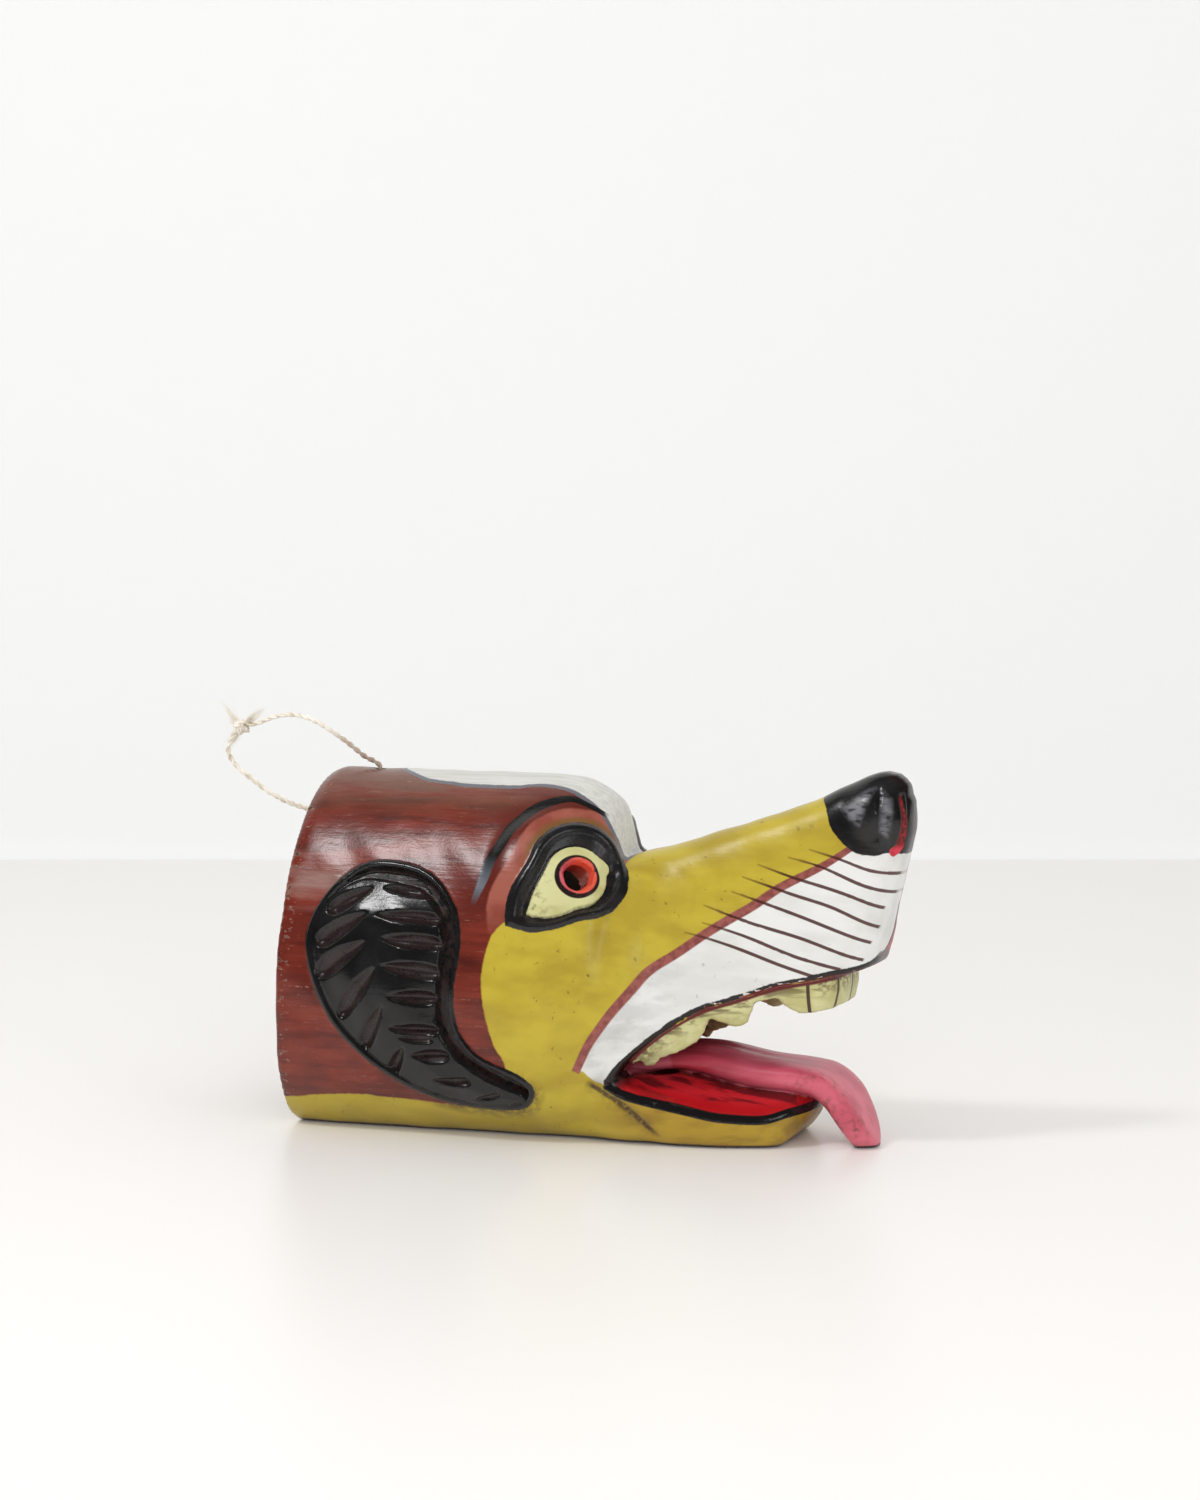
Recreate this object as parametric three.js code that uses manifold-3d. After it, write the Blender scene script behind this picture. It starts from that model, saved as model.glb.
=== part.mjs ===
// A carved and painted wooden dog mask with a twine loop to hang it by.
// Millimetres, +Z up. The dog looks along +X, its own right side is -Y, and it
// stands on the flat underside of its head and jaw at z = 0.
import * as THREE from 'three';
import { mergeVertices } from 'three/addons/utils/BufferGeometryUtils.js';
import Module from 'manifold-3d';

const wasm = await Module();
wasm.setup();

// Driving dimensions
const rimX = -150;              // open back edge, worn against the face
const headEndX = 34;            // the head block runs this far into the muzzle
const muzzleStartX = 2;         // and the muzzle this far back into the head
const cheekZ = 64;              // height of the widest line of the head
const lowReach = 70;            // depth of the lower half of the section below it
const domePower = 1.8;          // roundness of the crown, 2 is an ellipse
const wall = 11;                // wall left round the hollow
const floorWall = 9;            // wall left under the hollow
const hollowEndX = -4;          // front end of the hollow, behind the eyes
const hollowRoundX = -30;       // from here forward the hollow rounds off
const hollowMidZ = 82;          // height the hollow rounds off to
const blockTop = 171.6;         // crown height

const earSink = 3.5;            // pocket cut round the ear
const earProud = 1.5;           // ear body above the old surface
const gougeDepth = 2.6;
const gougeHeight = 9;
const gougeLength = 32;

const eyeCentre = new THREE.Vector3(-3.5, -44.5, 126.6);
const eyeForward = THREE.MathUtils.degToRad(34);   // turned from sideways to forward
const eyeUp = THREE.MathUtils.degToRad(20);        // tipped up
const eyeRingRadius = 25.5;
const eyeballRadius = 16.3;
const pupilRadius = 6;
const pupilReach = 34;          // the bore runs through to the hollow

const browRadii = new THREE.Vector3(33, 34, 14);   // swelling round the eye, in its frame
const browPlace = new THREE.Vector3(-5, 0, -15);

const muzzleRoundX = 110;       // the muzzle front rounds off from here
const noseTipX = 150;
const toothInset = 5.5;         // tooth row centre in from the lip
const toothThick = 6;
const toothBendX = 104;         // the row turns across the mouth from here
const toothBendReach = 13;

const grooveRadius = 2;         // nostril slits and the crease under the mouth

const tongueHalfWidth = 20.5;
const tongueAbove = 4;          // thickness over and under its middle line, in the droop
const tongueBelow = 9.5;
const tongueLift = 0.6;         // the tip clears the table by this

const twineDiameter = 2.7;
const twineSides = 8;
const twineHoleRadius = 2.5;
const twineHoleX = -125;
const knotCentre = new THREE.Vector3(-202, -2, 190);
const knotRadii = new THREE.Vector3(4.6, 3.6, 4.2);
const fitGap = 0.3;             // air between neighbouring pieces

// A smooth line through stations [x, value], with no overshoot between them
function through(stations) {
  const xs = stations.map((s) => s[0]);
  const ys = stations.map((s) => s[1]);
  const last = xs.length - 1;
  const rise = (i) => (ys[i + 1] - ys[i]) / (xs[i + 1] - xs[i]);
  const slope = xs.map((_, i) => {
    if (i === 0) return rise(0);
    if (i === last) return rise(last - 1);
    const before = rise(i - 1);
    const after = rise(i);
    return before * after <= 0 ? 0 : (2 * before * after) / (before + after);
  });
  return (x) => {
    const at = THREE.MathUtils.clamp(x, xs[0], xs[last]);
    let i = 0;
    while (i < last - 1 && at > xs[i + 1]) i += 1;
    const span = xs[i + 1] - xs[i];
    const t = (at - xs[i]) / span;
    const t2 = t * t;
    const t3 = t2 * t;
    return (2 * t3 - 3 * t2 + 1) * ys[i] + (t3 - 2 * t2 + t) * span * slope[i]
      + (3 * t2 - 2 * t3) * ys[i + 1] + (t3 - t2) * span * slope[i + 1];
  };
}

// Half of a superellipse: 1 at u = 0, falling to 0 at u = 1
function arch(u, power) {
  return Math.max(1 - THREE.MathUtils.clamp(u, 0, 1) ** power, 0) ** (1 / power);
}

function range(from, to, count) {
  return Array.from({ length: count }, (_, i) => from + ((to - from) * i) / (count - 1));
}

// Side profiles of the head, as heights over x
const crownLine = through([
  [-150, 169], [-143, blockTop], [-30, blockTop], [-17, 170.3], [-8, 166.8],
  [0, 161.8], [5, 155], [8, 147], [9.5, 137], [15, 118], [headEndX, 92],
]);
const upperLip = through([
  [2, 27], [10, 28], [17, 32.5], [22, 39], [30, 47], [38, 54], [49, 61.5], [60, 67],
  [72, 71], [94, 78.4], [116, 83], [134, 87],
]);
const bridgeLine = through([
  [2, 124], [10, 133], [34, 140], [58, 148], [82, 156], [105, 164.7], [118, 171],
  [130, 176.4], [138, 178.4], [144, 176.6], [148.6, 171], [150, 163],
]);
const frontLow = through([
  [134, 87], [137, 95], [142.4, 119.6], [147, 139], [149.8, 153], [150, 161],
]);
const frontLine = through([
  [84, 134], [95, 137], [119.6, 142.4], [139, 147], [153, 149.8], [164, 150.1],
  [171, 148.7], [176.4, 144.2], [178.4, 138],
]);
const lowerLip = through([
  [-20, 27], [17, 29], [23, 26], [33, 23], [54, 18.3], [77, 15], [87, 15.2], [96, 17],
  [108, 18],
]);

// Half widths in plan
const cheekWidth = through([
  [-150, 70], [-140, 71], [-45, 71], [-20, 69.5], [-1, 64], [10, 58.5], [18, 52], [26, 43], [34, 30],
]);
const lipWidth = through([
  [2, 44], [10, 50], [17, 52.5], [24, 50.5], [30, 48], [40, 43.5], [60, 38], [83, 34], [105, 31], [150, 27],
]);
const bridgeWidth = through([[2, 34], [10, 38], [20, 34], [34, 30], [60, 27], [100, 24], [150, 22]]);
const jawWidth = through([
  [-6, 53.5], [17, 53.5], [33, 49], [54, 44], [74, 38], [84, 34], [93, 28], [99, 21],
  [103, 11], [104.5, 3],
]);
const jawTuck = through([[-6, 20], [17, 17], [47, 9], [77, 6], [97, 6], [104.5, 2]]);
const cheekBlend = through([[10, 1], [34, 0.9], [60, 0.6], [150, 0.45]]);
const cheekSweep = through([[2, 5], [10, 4.5], [20, 3.6], [30, 1.9], [60, 1], [150, 0.9]]);
const lowPower = through([[-150, 3.2], [-100, 2.9], [-20, 2.5], [34, 2.5]]);

// Half width of the head block at a place on its side
function headHalfWidth(x, z) {
  if (z >= cheekZ) {
    return cheekWidth(x) * arch((z - cheekZ) / (crownLine(x) - cheekZ), domePower);
  }
  return cheekWidth(x) * arch((cheekZ - z) / lowReach, lowPower(x));
}

function muzzleHalfWidth(x, z) {
  const low = upperLip(x);
  const t = (z - low) / (bridgeLine(x) - low);
  const waist = Math.min(1, t / cheekBlend(x)) ** cheekSweep(x);
  const side = THREE.MathUtils.lerp(lipWidth(x), bridgeWidth(x), waist);
  const round = (x - muzzleRoundX) / (frontLine(z) - muzzleRoundX);
  return side * arch(t, 3.2) * arch(round, 2.6);
}

// Closed skin over a row of rings with the same number of points
function loft(rings) {
  const count = rings[0].length;
  const points = rings.flat();
  const faces = [];
  rings.slice(1).forEach((_, r) => {
    for (let i = 0; i < count; i += 1) {
      const next = (i + 1) % count;
      const a = r * count + i;
      const b = r * count + next;
      faces.push(a, b, b + count, a, b + count, a + count);
    }
  });
  [[rings[0], 0, true], [rings.at(-1), (rings.length - 1) * count, false]].forEach(
    ([ring, start, first]) => {
      const middle = ring.reduce((sum, p) => sum.add(p), new THREE.Vector3());
      points.push(middle.divideScalar(count));
      const hub = points.length - 1;
      for (let i = 0; i < count; i += 1) {
        const here = start + i;
        const next = start + ((i + 1) % count);
        faces.push(...(first ? [hub, next, here] : [hub, here, next]));
      }
    },
  );
  const geometry = new THREE.BufferGeometry().setFromPoints(points);
  geometry.setIndex(faces);
  return geometry;
}

// Between three.js geometry and solids that can be joined and cut
function solid(geometry) {
  geometry.deleteAttribute('normal');
  geometry.deleteAttribute('uv');
  const merged = mergeVertices(geometry, 1e-4);
  const made = new wasm.Manifold(new wasm.Mesh({
    numProp: 3,
    vertProperties: new Float32Array(merged.attributes.position.array),
    triVerts: new Uint32Array(merged.index.array),
  }));
  return made.volume() < 0 ? solid(turnedOut(merged)) : made;
}

function turnedOut(geometry) {
  const index = geometry.index.array;
  for (let i = 0; i < index.length; i += 3) {
    [index[i], index[i + 1]] = [index[i + 1], index[i]];
  }
  return geometry;
}

function geometryOf(made) {
  const mesh = made.getMesh();
  const geometry = new THREE.BufferGeometry();
  geometry.setAttribute('position', new THREE.BufferAttribute(mesh.vertProperties, 3));
  geometry.setIndex(new THREE.BufferAttribute(mesh.triVerts, 1));
  geometry.computeVertexNormals();
  return geometry;
}

// The same cut or pad on both sides of the dog
function bothSides(geometry) {
  return solid(geometry.clone()).add(solid(geometry.clone().scale(1, -1, 1)));
}

function ellipsoid(centre, radii, across = 14, down = 10) {
  const geometry = new THREE.SphereGeometry(1, across, down);
  geometry.scale(radii.x, radii.y, radii.z);
  geometry.translate(centre.x, centre.y, centre.z);
  return geometry;
}

// A ring of the head at x, from the keel round the -Y side to the crown and back
function headRing(x, grow = 0) {
  const width = cheekWidth(x) + grow;
  const rise = crownLine(x) - cheekZ + grow;
  const drop = lowReach + grow;
  const perSide = 17;
  const half = range(-90, 90, perSide).map((degrees) => {
    const angle = THREE.MathUtils.degToRad(degrees);
    const power = angle > 0 ? domePower : lowPower(x);
    const y = width * Math.abs(Math.cos(angle)) ** (2 / power);
    const z = cheekZ + (angle > 0 ? rise : -drop) * Math.abs(Math.sin(angle)) ** (2 / power);
    return [y, Math.max(z, 0)];
  });
  const near = half.map(([y, z]) => new THREE.Vector3(x, -y, z));
  const far = half.slice(1, -1).reverse().map(([y, z]) => new THREE.Vector3(x, y, z));
  return [...near, ...far];
}

function headBlock(grow = 0) {
  const stations = [rimX, -143, -115, -80, -45, -30, -17, -8, 0, 5, 8, 9.5, 12, 15, 22, headEndX];
  return loft(stations.map((x) => headRing(x, grow)));
}

function muzzleBlock() {
  const stations = [
    muzzleStartX, 10, 17, 24, 31, 39, 49, 60, 73, 86, 99, 109, 117, 124, 130, 134, 137.5, 141,
    145, noseTipX,
  ];
  const steps = range(0, 1, 11).map((t) => Math.sin((t * Math.PI) / 2) ** 1.2);
  return loft(stations.map((x) => {
    const low = x > 134 ? frontLow(x) : upperLip(x);
    const high = bridgeLine(x);
    const half = steps.map((t) => {
      const z = THREE.MathUtils.lerp(low, high, t);
      return [Math.max(muzzleHalfWidth(x, z), 0.4 * (1 - t)), z];
    });
    const near = half.map(([y, z]) => new THREE.Vector3(x, -y, z));
    const far = half.slice(0, -1).reverse().map(([y, z]) => new THREE.Vector3(x, y, z));
    return [...near, ...far];
  }));
}

// The lower jaw: a rounded keel, the lip, and the bank that rises to the tongue
function jawBlock() {
  const stations = [-6, 10, 25, 40, 55, 70, 80, 88, 94, 99, 102.5, 104.5];
  const edge = [[0, 1], [0.1, 0.68], [0.3, 0.35], [0.65, 0.1], [1, 0]];
  return loft(stations.map((x) => {
    const width = jawWidth(x);
    const lip = lowerLip(x);
    const lift = Math.max(0, (x - 89) / 15.5) ** 1.5 * 15;   // the chin sweeps up to the lip
    const side = edge.map(([h, t]) => [width - jawTuck(x) * t, lift + (lip - lift) * h]);
    const bank = [[0.55, 9], [0.3, 11]].map(([w, h]) => [width * w, lip + h * Math.min(1, width / 30)]);
    const half = [[0, lift], ...side, ...bank];
    const near = half.map(([y, z]) => new THREE.Vector3(x, -y, z));
    const far = half.slice(1).reverse().map(([y, z]) => new THREE.Vector3(x, y, z));
    return [...near, ...far];
  }));
}

// Prism across the whole head from an outline of [x, z] points, both sides or one
function prism(outline, fromY, toY) {
  const shape = new THREE.Shape(outline.map(([x, z]) => new THREE.Vector2(x, z)));
  const geometry = new THREE.ExtrudeGeometry(shape, {
    depth: Math.abs(toY - fromY), bevelEnabled: false, steps: 1,
  });
  geometry.rotateX(Math.PI / 2);
  geometry.translate(0, Math.max(fromY, toY), 0);
  return geometry;
}

// Closed smooth outline through a few [x, z] points
function smoothOutline(points, count) {
  const curve = new THREE.CatmullRomCurve3(
    points.map(([x, z]) => new THREE.Vector3(x, 0, z)), true, 'centripetal',
  );
  return curve.getSpacedPoints(count).slice(0, count).map((p) => [p.x, p.z]);
}

// The eye's own frame: along, up and out of its plane
const eyeOut = new THREE.Vector3(
  Math.sin(eyeForward) * Math.cos(eyeUp),
  -Math.cos(eyeForward) * Math.cos(eyeUp),
  Math.sin(eyeUp),
);
const eyeAlong = new THREE.Vector3(Math.cos(eyeForward), Math.sin(eyeForward), 0);
const eyeRise = new THREE.Vector3().crossVectors(eyeOut, eyeAlong);

function inEye(u, v, out) {
  return eyeCentre.clone().addScaledVector(eyeAlong, u)
    .addScaledVector(eyeRise, v).addScaledVector(eyeOut, out);
}

// Round outline with one drawn-out corner, low at the back, as the eye has
function tearRing(cu, cv, radius, tail, spread, out, count = 22) {
  return range(0, 360, count + 1).slice(0, count).map((degrees) => {
    const off = (degrees - 212) / spread;
    const r = radius + tail * Math.exp(-off * off);
    const angle = THREE.MathUtils.degToRad(degrees);
    return inEye(cu + r * Math.cos(angle), cv + r * Math.sin(angle), out);
  });
}

function browPad() {
  const pad = new THREE.SphereGeometry(1, 18, 8);
  pad.applyMatrix4(new THREE.Matrix4().makeBasis(
    eyeAlong.clone().multiplyScalar(browRadii.x), eyeRise.clone().multiplyScalar(browRadii.y),
    eyeOut.clone().multiplyScalar(browRadii.z),
  ));
  const middle = inEye(browPlace.x, browPlace.y, browPlace.z);
  pad.translate(middle.x, middle.y, middle.z);
  return pad;
}

function eyeSocket() {
  return loft([
    tearRing(1.5, 1, eyeRingRadius + 5, 14, 22, 7),
    tearRing(1.5, 1, eyeRingRadius + 0.5, 14, 22, -4),
    tearRing(0.6, -0.4, eyeballRadius + 2, 12, 21, -9),
  ]);
}

function eyeball() {
  return loft([
    tearRing(1, -1, eyeballRadius, 12, 21, -16),
    tearRing(1, -1, eyeballRadius, 12, 21, -7),
    tearRing(1, -1, eyeballRadius - 2.5, 9.5, 21, -4),
    tearRing(1, -1, eyeballRadius - 7, 5, 21, -2),
  ]);
}

function pupilBore() {
  const bore = new THREE.CylinderGeometry(pupilRadius, pupilRadius, pupilReach + 8, 16);
  bore.applyQuaternion(
    new THREE.Quaternion().setFromUnitVectors(new THREE.Vector3(0, 1, 0), eyeOut),
  );
  const middle = inEye(0.5, 0.5, 4 - pupilReach / 2);
  bore.translate(middle.x, middle.y, middle.z);
  return bore;
}

// Drooping ear in low relief: an outer pocket and the body of hair inside it
const earOutline = smoothOutline([
  [-98, 132], [-76, 128], [-60, 115], [-53.5, 98], [-55, 76], [-54, 58], [-44, 44], [-25, 35],
  [-17.5, 27], [-24, 17], [-45, 15.5], [-70, 20], [-97, 34], [-118, 53], [-131, 77],
  [-134.5, 96], [-128, 114], [-114, 128],
], 30);
const earBody = smoothOutline([
  [-97, 123], [-78, 119.5], [-67, 109], [-63.5, 95], [-65, 74], [-63.5, 56], [-53, 41], [-32, 31],
  [-20.5, 25.5], [-26, 19], [-46, 18.5], [-70, 23.5], [-95, 37], [-114, 55], [-127, 78],
  [-130, 96], [-124, 111], [-112, 121],
], 30);
const lockLine = new THREE.SplineCurve([
  new THREE.Vector2(-86, 113), new THREE.Vector2(-80, 92), new THREE.Vector2(-77, 66),
  new THREE.Vector2(-72, 46), new THREE.Vector2(-58, 30), new THREE.Vector2(-36, 23.5),
]);
const backLockLine = new THREE.SplineCurve([
  new THREE.Vector2(-114, 111), new THREE.Vector2(-115, 97), new THREE.Vector2(-111, 82),
  new THREE.Vector2(-101, 63),
]);

function gouge(x, z, tilt, length) {
  const cut = new THREE.SphereGeometry(1, 6, 5);
  cut.scale(length / 2, gougeDepth * 2, gougeHeight / 2);
  cut.rotateY(-tilt);
  cut.translate(x, -(headHalfWidth(x, z) + earProud + gougeDepth), z);
  return cut;
}

function earGouges() {
  const front = lockLine.getSpacedPoints(8).map((p, i) => {
    const low = Math.max(0, i - 5);
    return gouge(p.x, p.y, THREE.MathUtils.degToRad(-4 - 11 * low), gougeLength - 3 * low);
  });
  const back = backLockLine.getSpacedPoints(4).map((p) => (
    gouge(p.x, p.y, THREE.MathUtils.degToRad(36), gougeLength)
  ));
  return [...front, ...back];
}

function noseWing() {
  return ellipsoid(new THREE.Vector3(132, -7, 156), new THREE.Vector3(15.5, 13, 15.5));
}

// Slit between the wing and the middle of the nose
function nostril() {
  const slit = new THREE.CatmullRomCurve3([
    new THREE.Vector3(145.5, -11, 168), new THREE.Vector3(148.5, -11.5, 158),
    new THREE.Vector3(147.5, -12.5, 147), new THREE.Vector3(143, -14.5, 140.5),
  ]);
  return groove(slit, 8);
}

// Round-bottomed cut of grooveRadius along a line
function groove(line, steps) {
  const section = new THREE.Shape(range(0, 2 * Math.PI, 7).slice(1).map((angle) => (
    new THREE.Vector2(grooveRadius * Math.cos(angle), grooveRadius * Math.sin(angle))
  )));
  return new THREE.ExtrudeGeometry(section, { steps, bevelEnabled: false, extrudePath: line });
}

// The open mouth where it runs back into the cheeks
function mouthCut() {
  const upper = [14, 17, 22, 30, 38, 50].map((x) => [x, upperLip(x)]);
  const lower = [50, 38, 30, 22, 17].map((x) => [x, lowerLip(x)]);
  return prism([...upper, ...lower], -80, 80);
}

function throat() {
  return ellipsoid(new THREE.Vector3(24, 0, 38), new THREE.Vector3(22, 34, 12), 14, 8);
}

function palate() {
  const stations = [16, 30, 45, 60, 80, 100, 114, 121];
  return loft(stations.map((x) => {
    const low = upperLip(x) - 6;
    const top = upperLip(x) + 7 * arch((x - 60) / 62, 2);
    const width = Math.max(4, (lipWidth(x) - 11) * arch((x - 60) / 64, 2.4));
    const half = [[0.4, low], [1, low], [0.95, top - 4], [0.6, top], [0.2, top + 1]];
    return [
      ...half.map(([w, z]) => new THREE.Vector3(x, -width * w, z)),
      ...half.slice().reverse().map(([w, z]) => new THREE.Vector3(x, width * w, z)),
    ];
  }));
}

// Gum and teeth: one band inside the lips, cut to the side view of the tooth row
function toothBand() {
  const side = [26, 36, 48, 60, 74, 88, 97].map((x) => [x, lipWidth(x) - toothInset]);
  const front = range(20, 90, 5).slice(0, -1).map((degrees) => {
    const angle = THREE.MathUtils.degToRad(degrees);
    return [
      toothBendX + toothBendReach * Math.sin(angle) ** 0.8,
      (lipWidth(toothBendX) - toothInset) * Math.cos(angle) ** 0.7,
    ];
  });
  const near = [...side, ...front].map(([x, y]) => [x, -y]);
  const far = near.slice().reverse().map(([x, y]) => [x, -y]);
  const path = [...near, [toothBendX + toothBendReach, 0], ...far];
  return loft(path.map(([x, y], i) => {
    const before = path[Math.max(i - 1, 0)];
    const after = path[Math.min(i + 1, path.length - 1)];
    const along = new THREE.Vector2(after[0] - before[0], after[1] - before[1]).normalize();
    const [nx, ny] = [-along.y * (toothThick / 2), along.x * (toothThick / 2)];
    const top = upperLip(x) + 9;
    const low = upperLip(x) - 20;
    return [
      new THREE.Vector3(x - nx, y - ny, low), new THREE.Vector3(x + nx, y + ny, low),
      new THREE.Vector3(x + nx, y + ny, top), new THREE.Vector3(x - nx, y - ny, top),
    ];
  }));
}

function toothProfile() {
  const teeth = [
    [29, 41.5], [30, 38], [35, 38], [37, 41.5], [45, 44.5], [53.5, 49.5], [57, 54], [59.5, 61],
    [69, 58], [71.5, 57], [77, 59], [79, 64], [81, 69.5], [86, 70.5], [91, 72], [95, 68],
    [101, 65], [109, 65.5], [120, 68], [126, 70.5], [128.5, 73], [129, 90],
  ];
  return prism([[22, upperLip(22) - 2], ...teeth, [129, 110], [22, 70]], -60, 60);
}

// The tongue: a hump along the jaw that runs out over the chin and droops to the table
function tongue() {
  const spine = new THREE.CatmullRomCurve3([
    [12, 30], [32, 36], [52, 37], [76, 33.5], [96, 33], [108, 31.5], [117.5, 25], [123.5, 16],
    [128, 7.5], [131, 0.8],
  ].map(([x, z]) => new THREE.Vector3(x, 0, z)), false, 'centripetal');
  const stations = range(0, 1, 19);
  return loft(stations.map((s) => {
    const centre = spine.getPointAt(s);
    const along = spine.getTangentAt(s);
    const up = new THREE.Vector3(-along.z, 0, along.x);
    const tip = arch((s - 0.86) / 0.143, 2.8);
    const width = tongueHalfWidth * THREE.MathUtils.lerp(1.15, 0.95, s) * tip;
    const droop = THREE.MathUtils.smoothstep(s, 0.4, 0.75);
    const thin = THREE.MathUtils.lerp(0.7, 1, tip);
    const above = THREE.MathUtils.lerp(9, tongueAbove, droop) * thin;
    const below = THREE.MathUtils.lerp(5, tongueBelow, droop) * thin;
    const square = THREE.MathUtils.lerp(0.9, 0.5, droop);
    return range(0, 360, 13).slice(1).map((degrees) => {
      const angle = THREE.MathUtils.degToRad(degrees);
      const y = -Math.sign(Math.cos(angle)) * width * Math.abs(Math.cos(angle)) ** square;
      const rise = Math.sign(Math.sin(angle)) * Math.abs(Math.sin(angle)) ** square;
      const over = rise * (rise > 0 ? above : below);
      const point = new THREE.Vector3(centre.x, y, centre.z).addScaledVector(up, over);
      return point.setZ(Math.max(point.z, tongueLift));
    });
  }));
}

// The groove that runs down and forward from below the corner of the mouth
function jawCrease() {
  const line = new THREE.CatmullRomCurve3([
    new THREE.Vector3(0, -58.5, 24), new THREE.Vector3(12, -55.5, 19),
    new THREE.Vector3(24, -48.5, 11.5), new THREE.Vector3(33, -41.5, 4),
  ]);
  return groove(line, 6);
}

// The hollow for the wearer's head, open at the rim and rounded off behind the eyes
function hollow() {
  const stations = [rimX - 4, -110, -70, -45, hollowRoundX, -22, -15, -9, -5.5, hollowEndX];
  return loft(stations.map((x) => {
    const shrink = Math.max(
      Math.sqrt(1 - Math.max(0, (x - hollowRoundX) / (hollowEndX - hollowRoundX)) ** 2), 0.12,
    );
    const width = cheekWidth(x) - wall;
    const top = crownLine(Math.max(x, -140)) - wall;
    const half = range(-90, 90, 13).map((degrees) => {
      const angle = THREE.MathUtils.degToRad(degrees);
      const power = angle > 0 ? domePower : 2.7;
      const y = width * Math.abs(Math.cos(angle)) ** (2 / power);
      const reach = angle > 0 ? top - cheekZ : cheekZ - floorWall;
      const z = cheekZ + Math.sign(angle) * reach * Math.abs(Math.sin(angle)) ** (2 / power);
      return [y * shrink, hollowMidZ + (z - hollowMidZ) * shrink];
    });
    return [
      ...half.map(([y, z]) => new THREE.Vector3(x, -y, z)),
      ...half.slice(1, -1).reverse().map(([y, z]) => new THREE.Vector3(x, y, z)),
    ];
  }));
}

function twineHole() {
  const hole = new THREE.CylinderGeometry(twineHoleRadius, twineHoleRadius, 30, 12);
  hole.rotateX(Math.PI / 2);
  hole.translate(twineHoleX, 0, blockTop - 8);
  return hole;
}

function carvedMask() {
  const rightEar = solid(prism(earOutline, -40, -90));
  const rightBody = solid(prism(earBody, -40, -90));
  const sunkHead = solid(headBlock(-earSink));
  const proudHead = solid(headBlock(earProud));
  const earPocket = rightEar.subtract(sunkHead);
  const earRelief = rightBody.intersect(proudHead);
  const cheek = solid(headBlock()).subtract(solid(mouthCut()));

  let mask = cheek.add(solid(muzzleBlock())).add(solid(jawBlock()));
  mask = mask.subtract(solid(palate())).subtract(solid(throat()));
  mask = mask.add(bothSides(browPad()));
  mask = mask.add(bothSides(noseWing())).subtract(bothSides(nostril()));
  mask = mask.subtract(bothSides(geometryOf(earPocket)));
  mask = mask.add(bothSides(geometryOf(earRelief)));
  earGouges().forEach((cut) => {
    mask = mask.subtract(bothSides(cut));
  });
  mask = mask.subtract(bothSides(eyeSocket())).add(bothSides(eyeball()));
  mask = mask.subtract(bothSides(jawCrease()));
  mask = mask.add(solid(toothBand()).intersect(solid(toothProfile())));
  mask = mask.add(solid(tongue()));
  mask = mask.subtract(solid(hollow())).subtract(bothSides(pupilBore()));
  return mask.subtract(solid(twineHole()));
}

// Twine: one length from the hole up to the knot and back under the rim into the hole
const twineUp = [
  [-125.2, 0, 166.4], [-125.2, 0, 169.5], [-125.6, 0, 172.3], [-128.6, 0, 174.6], [-134, -0.4, 177],
  [-143, -0.8, 183.6], [-153, -1.2, 190], [-163, -1.4, 195], [-174, -1.6, 197], [-184, -1.8, 195.5],
  [-193, -2, 192.2], [-202, -2, 190],
];
const twineBack = [
  [-202, -2, 190], [-207.5, -1.8, 184.5], [-210, -1.4, 177.5], [-206, -1, 170.5],
  [-197, -0.6, 163.5], [-186, -0.4, 156.5], [-174, -0.2, 151.5], [-161, 0, 148.5], [-149, 0, 148],
  [-138, 0, 150], [-129.5, 0, 154], [-125.4, 0, 159.5], [-125.2, 0, 165.6],
];

function twineTube(points) {
  const curve = new THREE.CatmullRomCurve3(
    points.map((p) => new THREE.Vector3(...p)), false, 'centripetal',
  );
  // only the stretch that is clear of the knot
  const clear = curve.getSpacedPoints(240).filter((p) => {
    const d = p.clone().sub(knotCentre);
    const reach = Math.hypot(d.x / knotRadii.x, d.y / knotRadii.y, d.z / knotRadii.z);
    return reach > 1 + 2 * fitGap / knotRadii.y;
  });
  const kept = clear.filter((_, i) => i % 10 === 0 || i === clear.length - 1);
  const path = new THREE.CatmullRomCurve3(kept, false, 'centripetal');
  const angles = range(0, 2 * Math.PI, twineSides + 1).slice(1);
  const section = new THREE.Shape(angles.map((angle) => new THREE.Vector2(
    (twineDiameter / 2) * Math.cos(angle), (twineDiameter / 2) * Math.sin(angle),
  )));
  return new THREE.ExtrudeGeometry(section, {
    steps: 17, bevelEnabled: false, extrudePath: path,
  });
}

const paintedWood = new THREE.MeshStandardMaterial({
  color: 0x7a3322, roughness: 0.42, metalness: 0,
});
const twine = new THREE.MeshStandardMaterial({ color: 0xd8cbb4, roughness: 0.95, metalness: 0 });

const dogMask = new THREE.Group();
const addNode = (name, geometry, material) => {
  const mesh = new THREE.Mesh(geometry, material);
  mesh.name = name;
  dogMask.add(mesh);
};
addNode('mask', geometryOf(carvedMask()), paintedWood);
addNode('twine_upper', twineTube(twineUp), twine);
addNode('twine_lower', twineTube(twineBack), twine);
addNode('twine_knot', ellipsoid(knotCentre, knotRadii, 10, 6), twine);

export default dogMask;
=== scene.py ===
import math
import bmesh
import bpy
import numpy as np
from mathutils import Matrix, Vector


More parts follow.
